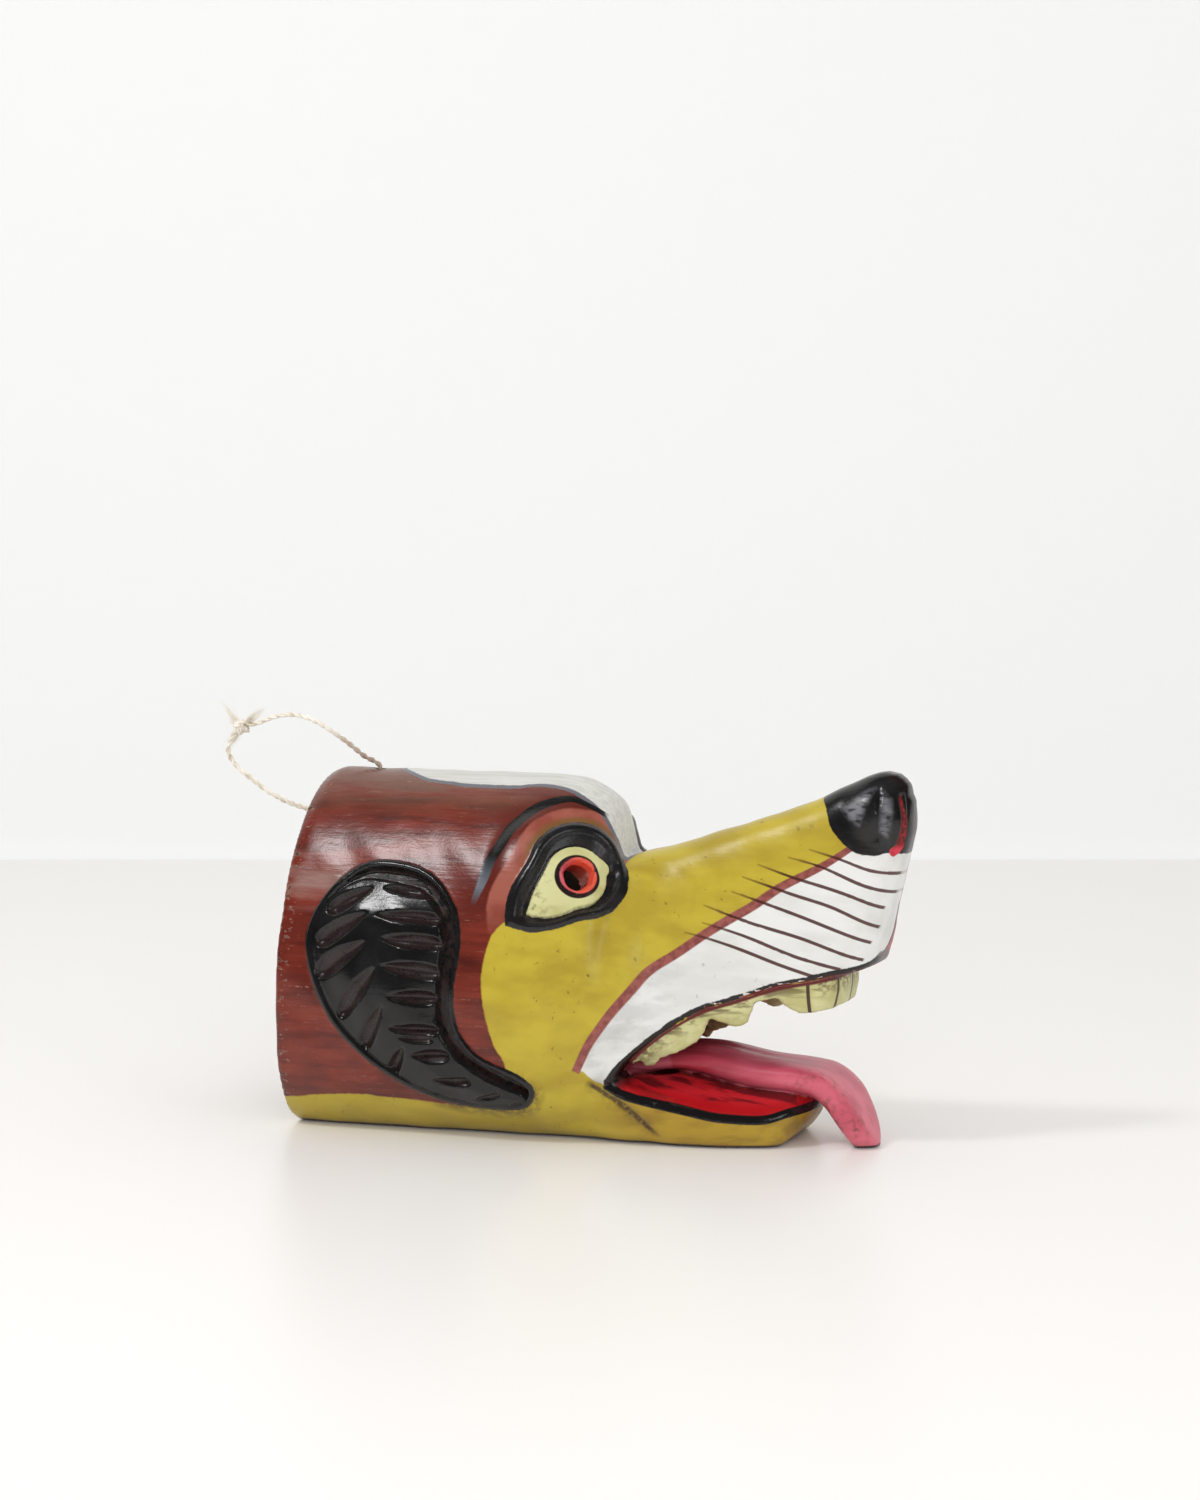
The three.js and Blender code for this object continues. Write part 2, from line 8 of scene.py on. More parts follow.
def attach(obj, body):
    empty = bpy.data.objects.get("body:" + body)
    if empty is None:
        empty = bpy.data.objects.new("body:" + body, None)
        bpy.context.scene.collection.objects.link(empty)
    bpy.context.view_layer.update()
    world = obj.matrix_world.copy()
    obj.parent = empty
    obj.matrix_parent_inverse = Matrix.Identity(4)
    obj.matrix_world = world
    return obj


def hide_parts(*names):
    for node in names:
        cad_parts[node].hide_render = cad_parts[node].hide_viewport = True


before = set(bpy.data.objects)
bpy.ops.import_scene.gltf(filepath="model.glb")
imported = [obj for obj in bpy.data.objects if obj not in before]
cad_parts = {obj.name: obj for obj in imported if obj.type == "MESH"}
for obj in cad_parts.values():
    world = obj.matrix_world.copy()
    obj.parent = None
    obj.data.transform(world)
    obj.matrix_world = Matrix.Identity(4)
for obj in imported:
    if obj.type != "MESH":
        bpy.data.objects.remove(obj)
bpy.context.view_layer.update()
toMetres = 0.001  # lengths below are millimetres unless they say otherwise
print("frame loaded")


# Camera

cameraLook = {
    "place": (0.5091, -1.3687, 0.3040),  # metres
    "turn": 20.7,    # degrees round to the dog's front
    "tilt": 4.7,     # degrees down
    "lens": 72.48,
}


def makeCamera(look):
    turn, tilt = math.radians(look["turn"]), math.radians(look["tilt"])
    right = Vector((math.cos(turn), math.sin(turn), 0))
    ahead = Vector((-math.sin(turn) * math.cos(tilt), math.cos(turn) * math.cos(tilt), -math.sin(tilt)))
    up = right.cross(ahead)
    data = bpy.data.cameras.new("photoCamera")
    data.lens = look["lens"]
    data.sensor_width = 36
    data.clip_start, data.clip_end = 0.05, 50
    camera = bpy.data.objects.new("photoCamera", data)
    bpy.context.scene.collection.objects.link(camera)
    camera.matrix_world = Matrix((right, up, -ahead)).transposed().to_4x4()
    camera.location = look["place"]
    bpy.context.scene.camera = camera


makeCamera(cameraLook)
print("camera placed")


# Small tools for materials and objects

def paintColour(code):
    # sRGB hex to the linear colour that the shaders work in
    parts = [int(code[i:i + 2], 16) / 255 for i in (1, 3, 5)]
    return tuple(c / 12.92 if c <= 0.04045 else ((c + 0.055) / 1.055) ** 2.4 for c in parts) + (1.0,)


def addNode(tree, kind, inputs=None, **settings):
    made = tree.nodes.new(kind)
    for name, value in settings.items():
        setattr(made, name, value)
    for key, value in (inputs or {}).items():
        if isinstance(value, bpy.types.NodeSocket):
            tree.links.new(value, made.inputs[key])
        else:
            made.inputs[key].default_value = value
    return made


def newMaterial(name):
    material = bpy.data.materials.new(name)
    material.use_nodes = True
    material.node_tree.nodes.clear()
    return material, material.node_tree


def linkObject(name, mesh):
    made = bpy.data.objects.new(name, mesh)
    bpy.context.scene.collection.objects.link(made)
    return made


# Twine: the loop first, because it decides how far the model reaches

twineLook = {
    "diameter": 2.7,
    "plyRadius": 0.72,       # each of the two plies
    "plyOffset": 0.62,       # from the middle of the twine
    "pitch": 9.0,            # one full turn of the plies
    "step": 0.7,             # spacing of the rings along it
    "fuzzPerSquareMm": 0.32,
    "fuzzLength": 1.7,
    "fuzzRadius": 0.05,
    "seed": 7,
}
# the same route as in the CAD: out of the hole, up to the knot, and back under the rim
twineUp = [
    (-125.2, 0, 166.4), (-125.2, 0, 169.5), (-125.6, 0, 172.3), (-128.6, 0, 174.6), (-134, -0.4, 177),
    (-143, -0.8, 183.6), (-153, -1.2, 190), (-163, -1.4, 195), (-174, -1.6, 197), (-184, -1.8, 195.5),
    (-193, -2, 192.2), (-202, -2, 190),
]
twineBack = [
    (-207.5, -1.8, 184.5), (-210, -1.4, 177.5), (-206, -1, 170.5), (-197, -0.6, 163.5), (-186, -0.4, 156.5),
    (-174, -0.2, 151.5), (-161, 0, 148.5), (-149, 0, 148), (-138, 0, 150), (-129.5, 0, 154),
    (-125.4, 0, 159.5), (-125.2, 0, 165.6),
]


def smoothLine(points, closed=False, per=8):
    # Catmull-Rom line through the points, as closely spaced points
    pts = np.array(points, float)
    count = len(pts)
    line = []
    for i in range(count if closed else count - 1):
        p1, p2 = pts[i], pts[(i + 1) % count]
        p0 = pts[i - 1] if closed or i > 0 else 2 * p1 - p2
        p3 = pts[(i + 2) % count] if closed or i < count - 2 else 2 * p2 - p1
        for t in np.arange(per) / per:
            line.append(0.5 * (2 * p1 + (p2 - p0) * t + (2 * p0 - 5 * p1 + 4 * p2 - p3) * t * t
                               + (3 * p1 - p0 - 3 * p2 + p3) * t ** 3))
    if not closed:
        line.append(pts[-1])
    return np.array(line)


def curveObject(name, lines):
    data = bpy.data.curves.new(name, "CURVE")
    data.dimensions = "3D"
    for line in lines:
        spline = data.splines.new("POLY")
        spline.points.add(len(line) - 1)
        flat = np.ones((len(line), 4))
        flat[:, :3] = np.array(line) * toMetres
        spline.points.foreach_set("co", flat.ravel())
    return linkObject(name, data)


def twineTree(look, material):
    # rings of two plies swept along the line with a steady twist, and short stray fibres on them
    tree = bpy.data.node_groups.new("twoPlyTwine", "GeometryNodeTree")
    sizes = {"Ply Radius": "plyRadius", "Ply Offset": "plyOffset", "Pitch": "pitch", "Step": "step",
             "Fuzz Length": "fuzzLength", "Fuzz Radius": "fuzzRadius"}
    tree.interface.new_socket("Geometry", in_out="INPUT", socket_type="NodeSocketGeometry")
    for name in sizes:
        tree.interface.new_socket(name, in_out="INPUT", socket_type="NodeSocketFloat")
    tree.interface.new_socket("Fuzz Density", in_out="INPUT", socket_type="NodeSocketFloat")
    tree.interface.new_socket("Seed", in_out="INPUT", socket_type="NodeSocketInt")
    tree.interface.new_socket("Geometry", in_out="OUTPUT", socket_type="NodeSocketGeometry")
    given = addNode(tree, "NodeGroupInput").outputs
    spaced = addNode(tree, "GeometryNodeResampleCurve", {"Curve": given["Geometry"], "Length": given["Step"]},
                     mode="LENGTH")
    along = addNode(tree, "GeometryNodeSplineParameter").outputs["Length"]
    turns = addNode(tree, "ShaderNodeMath", {0: along, 1: given["Pitch"]}, operation="DIVIDE")
    angle = addNode(tree, "ShaderNodeMath", {0: turns.outputs[0], 1: 2 * math.pi}, operation="MULTIPLY")
    marked = addNode(tree, "GeometryNodeStoreNamedAttribute",
                     {"Geometry": spaced.outputs[0], "Name": "twineAlong", "Value": along},
                     data_type="FLOAT", domain="POINT")
    tilted = addNode(tree, "GeometryNodeSetCurveTilt",
                     {"Curve": marked.outputs[0], "Tilt": angle.outputs[0]})
    ring = addNode(tree, "GeometryNodeCurvePrimitiveCircle", {"Resolution": 9, "Radius": given["Ply Radius"]},
                   mode="RADIUS")
    lap = addNode(tree, "GeometryNodeSplineParameter").outputs["Factor"]
    ringMarked = addNode(tree, "GeometryNodeStoreNamedAttribute",
                         {"Geometry": ring.outputs[0], "Name": "plyRound", "Value": lap},
                         data_type="FLOAT", domain="POINT")
    away = addNode(tree, "ShaderNodeMath", {0: given["Ply Offset"], 1: -1.0}, operation="MULTIPLY")
    plies = []
    for offset in (given["Ply Offset"], away.outputs[0]):
        place = addNode(tree, "ShaderNodeCombineXYZ", {"X": offset})
        plies.append(addNode(tree, "GeometryNodeTransform",
                             {"Geometry": ringMarked.outputs[0], "Translation": place.outputs[0]}))
    profile = addNode(tree, "GeometryNodeJoinGeometry")
    for ply in plies:
        tree.links.new(ply.outputs[0], profile.inputs[0])
    body = addNode(tree, "GeometryNodeCurveToMesh",
                   {"Curve": tilted.outputs[0], "Profile Curve": profile.outputs[0], "Fill Caps": True})
    spots = addNode(tree, "GeometryNodeDistributePointsOnFaces",
                    {"Mesh": body.outputs[0], "Density": given["Fuzz Density"], "Seed": given["Seed"]})
    fibre = addNode(tree, "GeometryNodeMeshCone",
                    {"Vertices": 3, "Radius Top": 0.00001, "Radius Bottom": given["Fuzz Radius"],
                     "Depth": given["Fuzz Length"]})
    lean = addNode(tree, "FunctionNodeRandomValue",
                   {"Min": (-1.1, -1.1, 0.0), "Max": (1.1, 1.1, 6.28), "Seed": given["Seed"]},
                   data_type="FLOAT_VECTOR")
    leaning = addNode(tree, "FunctionNodeRotateRotation",
                      {"Rotation": spots.outputs["Rotation"], "Rotate By": lean.outputs[0]},
                      rotation_space="LOCAL")
    size = addNode(tree, "FunctionNodeRandomValue", {2: 0.35, 3: 1.0, "Seed": given["Seed"]},
                   data_type="FLOAT")
    fuzz = addNode(tree, "GeometryNodeInstanceOnPoints",
                   {"Points": spots.outputs["Points"], "Instance": fibre.outputs["Mesh"],
                    "Rotation": leaning.outputs[0], "Scale": size.outputs[1]})
    both = addNode(tree, "GeometryNodeJoinGeometry")
    tree.links.new(body.outputs[0], both.inputs[0])
    tree.links.new(fuzz.outputs[0], both.inputs[0])
    real = addNode(tree, "GeometryNodeRealizeInstances", {"Geometry": both.outputs[0]})
    dressed = addNode(tree, "GeometryNodeSetMaterial", {"Geometry": real.outputs[0], "Material": material})
    addNode(tree, "NodeGroupOutput", {"Geometry": dressed.outputs[0]})
    values = {name: look[key] * toMetres for name, key in sizes.items()}
    values["Fuzz Density"] = look["fuzzPerSquareMm"] / toMetres ** 2
    values["Seed"] = look["seed"]
    return tree, values


def throughTree(source, name, tree, values):
    # runs the tree on a curve and keeps the result as a plain mesh
    modifier = source.modifiers.new("tree", "NODES")
    modifier.node_group = tree
    for item in tree.interface.items_tree:
        if item.in_out == "INPUT" and item.name in values:
            modifier[item.identifier] = values[item.name]
    graph = bpy.context.evaluated_depsgraph_get()
    mesh = bpy.data.meshes.new_from_object(source.evaluated_get(graph), depsgraph=graph)
    source.modifiers.remove(modifier)
    bpy.data.objects.remove(source)
    mesh.name = name
    return linkObject(name, mesh)


def twineMaterial():
    # plant-fibre twine: dry, pale, fine fibres running with the twist of each ply
    material, tree = newMaterial("undyedPlantFibreTwine")
    along = addNode(tree, "ShaderNodeAttribute", attribute_name="twineAlong").outputs["Fac"]
    lap = addNode(tree, "ShaderNodeAttribute", attribute_name="plyRound").outputs["Fac"]
    perFibre = 14.0          # fibres seen round one ply, about 0.3 mm each
    fibreTwist = 700.0       # turns of the fibre pattern per metre
    lapped = addNode(tree, "ShaderNodeMath", {0: lap, 1: perFibre}, operation="MULTIPLY")
    run = addNode(tree, "ShaderNodeMath", {0: along, 1: fibreTwist}, operation="MULTIPLY")
    across = addNode(tree, "ShaderNodeMath", {0: lapped.outputs[0], 1: run.outputs[0]}, operation="ADD")
    long = addNode(tree, "ShaderNodeMath", {0: along, 1: 90.0}, operation="MULTIPLY")
    place = addNode(tree, "ShaderNodeCombineXYZ", {"X": across.outputs[0], "Y": long.outputs[0]})
    fibres = addNode(tree, "ShaderNodeTexNoise", {"Vector": place.outputs[0], "Scale": 1.0, "Detail": 3.0})
    where = addNode(tree, "ShaderNodeTexCoord").outputs["Object"]
    patches = addNode(tree, "ShaderNodeTexNoise", {"Vector": where, "Scale": 160.0})
    tone = addNode(tree, "ShaderNodeMath", {0: fibres.outputs["Fac"], 1: patches.outputs["Fac"]},
                   operation="ADD")
    mean = addNode(tree, "ShaderNodeMath", {0: tone.outputs[0], 1: 0.5}, operation="MULTIPLY")
    colour = addNode(tree, "ShaderNodeValToRGB", {"Fac": mean.outputs[0]})
    stops = colour.color_ramp.elements
    stops[0].position, stops[0].color = 0.32, paintColour("#c2ae8c")
    stops[1].position, stops[1].color = 0.56, paintColour("#fff9ee")
    # it is stained brown where it rubs on the paint
    place = addNode(tree, "ShaderNodeSeparateXYZ", {"Vector": where})
    stain = addNode(tree, "ShaderNodeMapRange",
                    {"Value": place.outputs["X"], "From Min": -0.156, "From Max": -0.134, "To Max": 0.7})
    stained = addNode(tree, "ShaderNodeMix", {0: stain.outputs[0], 6: colour.outputs["Color"],
                                              7: paintColour("#7a4a2c")}, data_type="RGBA")
    bump = addNode(tree, "ShaderNodeBump",
                   {"Height": fibres.outputs["Fac"], "Strength": 0.5, "Distance": 0.0002})
    shader = addNode(tree, "ShaderNodeBsdfPrincipled",
                     {"Base Color": stained.outputs[2], "Normal": bump.outputs[0], "Roughness": 0.9,
                      "Specular IOR Level": 0.2, "Sheen Weight": 0.25, "Sheen Roughness": 0.5})
    addNode(tree, "ShaderNodeOutputMaterial", {"Surface": shader.outputs[0]})
    return material


twineFinish = twineMaterial()
twineGroup, twineValues = twineTree(twineLook, twineFinish)
twineRoute = smoothLine(twineUp + twineBack)
twine = throughTree(curveObject("twineRoute", [twineRoute]), "twineLoop", twineGroup, twineValues)


# Knot: the twine wrapped over itself, with frayed ends

knotLook = {
    "centre": (-202, -2, 190),
    "wraps": 2.6,
    "wrapRadius": 2.6,
    "wrapSpread": 5.2,       # the wraps lie over this length of the twine
    "tails": [(-11, -0.5, 13), (13, 0.5, 10), (-6, -1, 4), (-9, 1, -12)],  # where the frayed ends point
    "fibresPerTail": 40,
    "fibreRadius": 0.12,
    "spread": 2.4,
    "seed": 11,
}


def knotLines(look):
    turns = np.linspace(0, 1, 60)
    angle = turns * look["wraps"] * 2 * math.pi
    along = np.array([0.95, 0.1, 0.3])
    along /= np.linalg.norm(along)
    side = np.cross(along, [0, 1, 0])
    side /= np.linalg.norm(side)
    other = np.cross(along, side)
    middle = np.array(look["centre"], float)
    shift = (turns - 0.5) * look["wrapSpread"]
    wrap = (middle + shift[:, None] * along + look["wrapRadius"]
            * (np.cos(angle)[:, None] * side + np.sin(angle)[:, None] * other))
    cross = middle + np.array([[-3.4, 1, -2.2], [-1.6, -3, 0.4], [1.2, -3.2, 1.8], [3.2, 0, 2.6]])
    return [wrap, smoothLine(cross)]


def frayedLines(look):
    # fine curved fibres that fan out of the knot
    rng = np.random.default_rng(look["seed"])
    middle = np.array(look["centre"], float)
    lines = []
    for tail in look["tails"]:
        tail = np.array(tail, float)
        for _ in range(look["fibresPerTail"]):
            reach = rng.uniform(0.55, 1.08)
            end = tail * reach + rng.normal(0, look["spread"] * 0.45, 3)
            bend = np.cross(tail, rng.normal(0, 1, 3))
            bend *= rng.uniform(0, 1.6) / np.linalg.norm(bend)
            start = rng.normal(0, 0.7, 3)
            t = np.linspace(0, 1, 7)[:, None]
            lines.append(middle + start * (1 - t) + end * t + bend * 4 * t * (1 - t))
    return lines


def fibreTree(look, material):
    # thin fibres swept along every line, tapering to their ends
    tree = bpy.data.node_groups.new("frayedFibres", "GeometryNodeTree")
    tree.interface.new_socket("Geometry", in_out="INPUT", socket_type="NodeSocketGeometry")
    tree.interface.new_socket("Fibre Radius", in_out="INPUT", socket_type="NodeSocketFloat")
    tree.interface.new_socket("Geometry", in_out="OUTPUT", socket_type="NodeSocketGeometry")
    given = addNode(tree, "NodeGroupInput").outputs
    ring = addNode(tree, "GeometryNodeCurvePrimitiveCircle", {"Resolution": 4, "Radius": 1.0}, mode="RADIUS")
    lap = addNode(tree, "GeometryNodeSplineParameter").outputs["Factor"]
    thin = addNode(tree, "ShaderNodeMapRange", {"Value": lap, "From Min": 0.3, "From Max": 1.0,
                                                "To Min": given["Fibre Radius"], "To Max": 0.00002})
    sized = addNode(tree, "GeometryNodeSetCurveRadius",
                    {"Curve": given["Geometry"], "Radius": thin.outputs[0]})
    body = addNode(tree, "GeometryNodeCurveToMesh",
                   {"Curve": sized.outputs[0], "Profile Curve": ring.outputs[0], "Fill Caps": True})
    if "Scale" in body.inputs:
        radius = addNode(tree, "GeometryNodeInputRadius")
        tree.links.new(radius.outputs[0], body.inputs["Scale"])
    real = addNode(tree, "GeometryNodeRealizeInstances", {"Geometry": body.outputs[0]})
    dressed = addNode(tree, "GeometryNodeSetMaterial", {"Geometry": real.outputs[0], "Material": material})
    addNode(tree, "NodeGroupOutput", {"Geometry": dressed.outputs[0]})
    return tree, {"Fibre Radius": look["fibreRadius"] * toMetres}


def joinMeshes(name, pieces):
    # one mesh from several finished pieces
    for piece in pieces:
        piece.select_set(True)
    with bpy.context.temp_override(active_object=pieces[0], selected_editable_objects=pieces):
        bpy.ops.object.join()
    pieces[0].name = name
    pieces[0].data.name = name
    return pieces[0]


wraps = throughTree(curveObject("knotRoute", knotLines(knotLook)), "knotWraps", twineGroup, twineValues)
fibreGroup, fibreValues = fibreTree(knotLook, twineFinish)
tails = throughTree(curveObject("tailRoutes", frayedLines(knotLook)), "knotTails", fibreGroup, fibreValues)
knot = joinMeshes("twineKnot", [wraps, tails])
print("knot made")


# Mask: the carving as one field of distances in millimetres, negative inside the wood

carving = {
    "step": 1.72,            # spacing of the grid that the surface is drawn from
    "reach": (153.8, 76.5, 4.2),     # of the grid: either way along x and y, and down
    "reachUp": 181.5,
    "rimX": -150.0,
    "headEndX": 34.0,
    "muzzleStartX": 2.0,
    "cheekZ": 64.0,
    "lowReach": 70.0,
    "domePower": 1.8,
    "wall": 11.0,
    "floorWall": 9.0,
    "hollowEndX": -4.0,
    "hollowRoundX": -30.0,
    "hollowMidZ": 82.0,
    "hollowBall": (84.0, 4.0),       # radius and slack of the ball that bounds its narrow end
    "muzzleRoundX": 110.0,
    "jawEndX": (-6.0, 104.5),
    "throat": ((24, 0, 38), (22, 34, 12)),       # middle and radii
    "noseWing": ((132, 7, 156), (15.5, 13, 15.5)),
    "mouthGapEndX": 45.0,
    "twineHoleX": -125.0,
    "twineHoleRadius": 2.5,
    "twineHoleLowZ": 150.0,
    "waver": 0.22,           # the knife's unevenness on the outside
    "scallop": 0.45,         # depth of the gouge marks in the hollow
    "mostTriangles": 192000,
}

# side profiles as heights over x, and half widths in plan
crownLine = [(-150, 169), (-143, 171.6), (-30, 171.6), (-17, 170.3), (-8, 166.8), (0, 161.8), (5, 155),
             (8, 147), (9.5, 137), (15, 118), (34, 92)]
upperLip = [(2, 27), (10, 28), (17, 32.5), (22, 39), (30, 47), (38, 54), (49, 61.5), (60, 67), (72, 71),
            (94, 78.4), (116, 83), (134, 87)]
bridgeLine = [(2, 124), (10, 133), (34, 140), (58, 148), (82, 156), (105, 164.7), (118, 171), (130, 176.4),
              (138, 178.4), (144, 176.6), (148.6, 171), (150, 163)]
frontLine = [(84, 134), (95, 137), (119.6, 142.4), (139, 147), (153, 149.8), (164, 150.1), (171, 148.7),
             (176.4, 144.2), (178.4, 138)]
lowerLip = [(-20, 27), (17, 29), (23, 26), (33, 23), (54, 18.3), (77, 15), (87, 15.2), (96, 17), (108, 18)]
cheekWidth = [(-150, 70), (-140, 71), (-45, 71), (-20, 69.5), (-1, 64), (10, 58.5), (18, 52), (26, 43),
              (34, 30)]
lipWidth = [(2, 44), (10, 50), (17, 52.5), (24, 50.5), (30, 48), (40, 43.5), (60, 38), (83, 34), (105, 31),
            (150, 27)]
bridgeWidth = [(2, 34), (10, 38), (20, 34), (34, 30), (60, 27), (100, 24), (150, 22)]
jawWidth = [(-6, 53.5), (17, 53.5), (33, 49), (54, 44), (74, 38), (84, 34), (93, 28), (99, 21), (103, 11),
            (104.5, 3)]
jawTuck = [(-6, 20), (17, 17), (47, 9), (77, 6), (97, 6), (104.5, 2)]
jawEdgeShare = [(0, 1), (0.1, 0.68), (0.3, 0.35), (0.65, 0.1), (1, 0)]
jawBankShare = [(0, 11), (0.3, 11), (0.55, 9), (1, 0)]
cheekBlend = [(10, 1), (34, 0.9), (60, 0.6), (150, 0.45)]
cheekSweep = [(2, 5), (10, 4.5), (20, 3.6), (30, 1.9), (60, 1), (150, 0.9)]
lowPower = [(-150, 3.2), (-100, 2.9), (-20, 2.5), (34, 2.5)]


def through(stations, at):
    # smooth line through stations with no overshoot between them
    xs, ys = np.array(stations, float).T
    rise = np.diff(ys) / np.diff(xs)
    product = rise[:-1] * rise[1:]
    total = np.where(product > 0, rise[:-1] + rise[1:], 1)
    slope = np.concatenate([rise[:1], np.where(product > 0, 2 * product / total, 0), rise[-1:]])
    at = np.clip(at, xs[0], xs[-1])
    i = np.clip(np.searchsorted(xs, at, side="right") - 1, 0, len(xs) - 2)
    span = xs[i + 1] - xs[i]
    t = (at - xs[i]) / span
    return ((2 * t ** 3 - 3 * t ** 2 + 1) * ys[i] + (t ** 3 - 2 * t ** 2 + t) * span * slope[i]
            + (3 * t ** 2 - 2 * t ** 3) * ys[i + 1] + (t ** 3 - t ** 2) * span * slope[i + 1])


def arch(u, power):
    # half of a superellipse: 1 at u = 0, falling to 0 at u = 1
    return np.maximum(1 - np.clip(u, 0, 1) ** power, 0) ** (1 / power)


def ease(u):
    u = np.clip(u, 0, 1)
    return u * u * (3 - 2 * u)


def join(a, b, radius):
    near = np.maximum(radius - np.abs(a - b), 0) / radius
    return np.minimum(a, b) - near * near * radius * 0.25


def cut(a, b, radius):
    return -join(-a, b, radius)


def keep(a, b, radius):
    return -join(-a, -b, radius)


def asDistance(field, reach=25.0):
    # a field that is zero on its surface, scaled to millimetres near it
    slopes = np.gradient(field, carving["step"])
    size = np.sqrt(sum(s * s for s in slopes))
    return np.clip(field / np.maximum(size, 1e-3), -reach, reach).astype(np.float32)


def lineDistance(px, py, line, closed=False):
    # distance to a drawn line, signed: negative inside a closed line or to the right of an open one,
    # and the length along the line of the nearest place
    pts = np.array(line, float)
    ends = np.roll(pts, -1, 0) if closed else pts[1:]
    starts = pts if closed else pts[:-1]
    best = np.full(np.broadcast(px, py).shape, 1e9)
    side = np.zeros(best.shape)
    along = np.zeros(best.shape)
    odd = np.zeros(best.shape, bool)
    gone = 0.0
    for (ax, ay), (bx, by) in zip(starts, ends):
        dx, dy = bx - ax, by - ay
        size = max(dx * dx + dy * dy, 1e-9)
        t = np.clip(((px - ax) * dx + (py - ay) * dy) / size, 0, 1)
        far = (px - ax - t * dx) ** 2 + (py - ay - t * dy) ** 2
        nearer = far < best
        best = np.where(nearer, far, best)
        side = np.where(nearer, dx * (py - ay) - dy * (px - ax), side)
        along = np.where(nearer, gone + t * math.sqrt(size), along)
        gone += math.sqrt(size)
        if closed:
            crosses = ((ay > py) != (by > py)) & (px < (bx - ax) * (py - ay) / (by - ay + 1e-12) + ax)
            odd ^= crosses
    best = np.sqrt(best)
    sign = np.where(odd, -1, 1) if closed else np.where(side < 0, -1, 1)
    return best * sign, along


step = carving["step"]
gridFirst = -np.array([math.ceil(reach / step) for reach in carving["reach"]])   # lowest number on each axis
gridTop = math.ceil(carving["reachUp"] / step)
gridX = (np.arange(gridFirst[0], 1 - gridFirst[0]) * step)[:, None, None]
gridY = (np.arange(0, 1 - gridFirst[1]) * step)[None, :, None]        # one half, mirrored later
gridZ = (np.arange(gridFirst[2], gridTop + 1) * step)[None, None, :]
planX, planZ = gridX[:, :, 0], gridZ[:, 0, :]           # side view grid


def headField():
    c = carving
    width, crown, power = through(cheekWidth, gridX), through(crownLine, gridX), through(lowPower, gridX)
    p = c["domePower"]
    share = gridY / width
    upper = (share ** p + (np.maximum(gridZ - c["cheekZ"], 0) / (crown - c["cheekZ"])) ** p) ** (1 / p)
    lower = (share ** power + (np.maximum(c["cheekZ"] - gridZ, 0) / c["lowReach"]) ** power) ** (1 / power)
    block = asDistance(np.where(gridZ >= c["cheekZ"], upper, lower) - 1)
    block = np.maximum(block, gridX - c["headEndX"])
    return keep(block, c["rimX"] - gridX + 0 * gridZ, 1.2)


def muzzleField():
    c = carving
    low, high = through(upperLip, gridX), through(bridgeLine, gridX)
    t = (gridZ - low) / (high - low)
    up = np.clip(t, 0, 4)
    waist = np.minimum(1, up / through(cheekBlend, gridX)) ** through(cheekSweep, gridX)
    side = through(lipWidth, gridX) * (1 - waist) + through(bridgeWidth, gridX) * waist
    front = through(frontLine, gridZ)
    q = np.clip((gridX - c["muzzleRoundX"]) / (front - c["muzzleRoundX"]), 0, 4)
    top, nose = 1 - up ** 3.2, 1 - q ** 2.6
    nose = np.sign(nose) * np.abs(nose) ** (3.2 / 2.6)
    both = np.where((top > 0) & (nose > 0), top * nose, np.minimum(top, 0) + np.minimum(nose, 0))
    body = asDistance((gridY / side) ** 3.2 - both)
    lip = (low - gridZ) / np.sqrt(1 + np.gradient(low[:, 0, 0], step) ** 2)[:, None, None]
    body = keep(body, lip + 0 * gridY, 2.0)
    return np.maximum(body, c["muzzleStartX"] - gridX)


def jawField():
    width, lip = through(jawWidth, gridX), through(lowerLip, gridX)
    lift = np.maximum(0, (gridX - 89) / 15.5) ** 1.5 * 15   # the chin sweeps up to the lip
    sideY = width - through(jawTuck, gridX) * through(jawEdgeShare, (gridZ - lift) / (lip - lift))
    bank = lip + through(jawBankShare, gridY / width) * np.minimum(1, width / 30)
    slopeSide = np.gradient(sideY[:, 0, :], step)
    slopeTop = np.gradient(bank[:, :, 0], step)
    side = (gridY - sideY) / np.sqrt(1 + slopeSide[0] ** 2 + slopeSide[1] ** 2)[:, None, :]
    top = (gridZ - bank) / np.sqrt(1 + slopeTop[0] ** 2 + slopeTop[1] ** 2)[:, :, None]
    jaw = keep(side, top, 2.2)
    jaw = keep(jaw, lift - gridZ + 0 * gridY, 1.5)
    back, front = carving["jawEndX"]
    return np.maximum(np.maximum(jaw, gridX - front), back - gridX)


palateLook = {
    "middleX": 60,
    "rise": 7,               # of its vault over the lip
    "riseReach": 62,         # over which the vault comes down, and then over which it narrows
    "sideReach": 64,
    "sideWall": 11,          # wood beside it
    "round": 8,              # rounding of its upper edges
    "endX": (16, 121),
}


def palateField():
    look = palateLook
    lip, ahead = through(upperLip, gridX), gridX - look["middleX"]
    top = lip + look["rise"] * arch(ahead / look["riseReach"], 2) + 0.6
    half = through(lipWidth, gridX) - look["sideWall"]
    width = np.maximum(4, half * arch(ahead / look["sideReach"], 2.4))
    over = np.maximum(0, (gridZ - top + look["round"]) / look["round"])
    field = asDistance(((gridY / width) ** 4 + over ** 4) ** 0.25 - 1)
    field = np.maximum(field, lip - 6 - gridZ)
    back, front = look["endX"]
    return np.maximum(np.maximum(field, back - gridX), gridX - front)


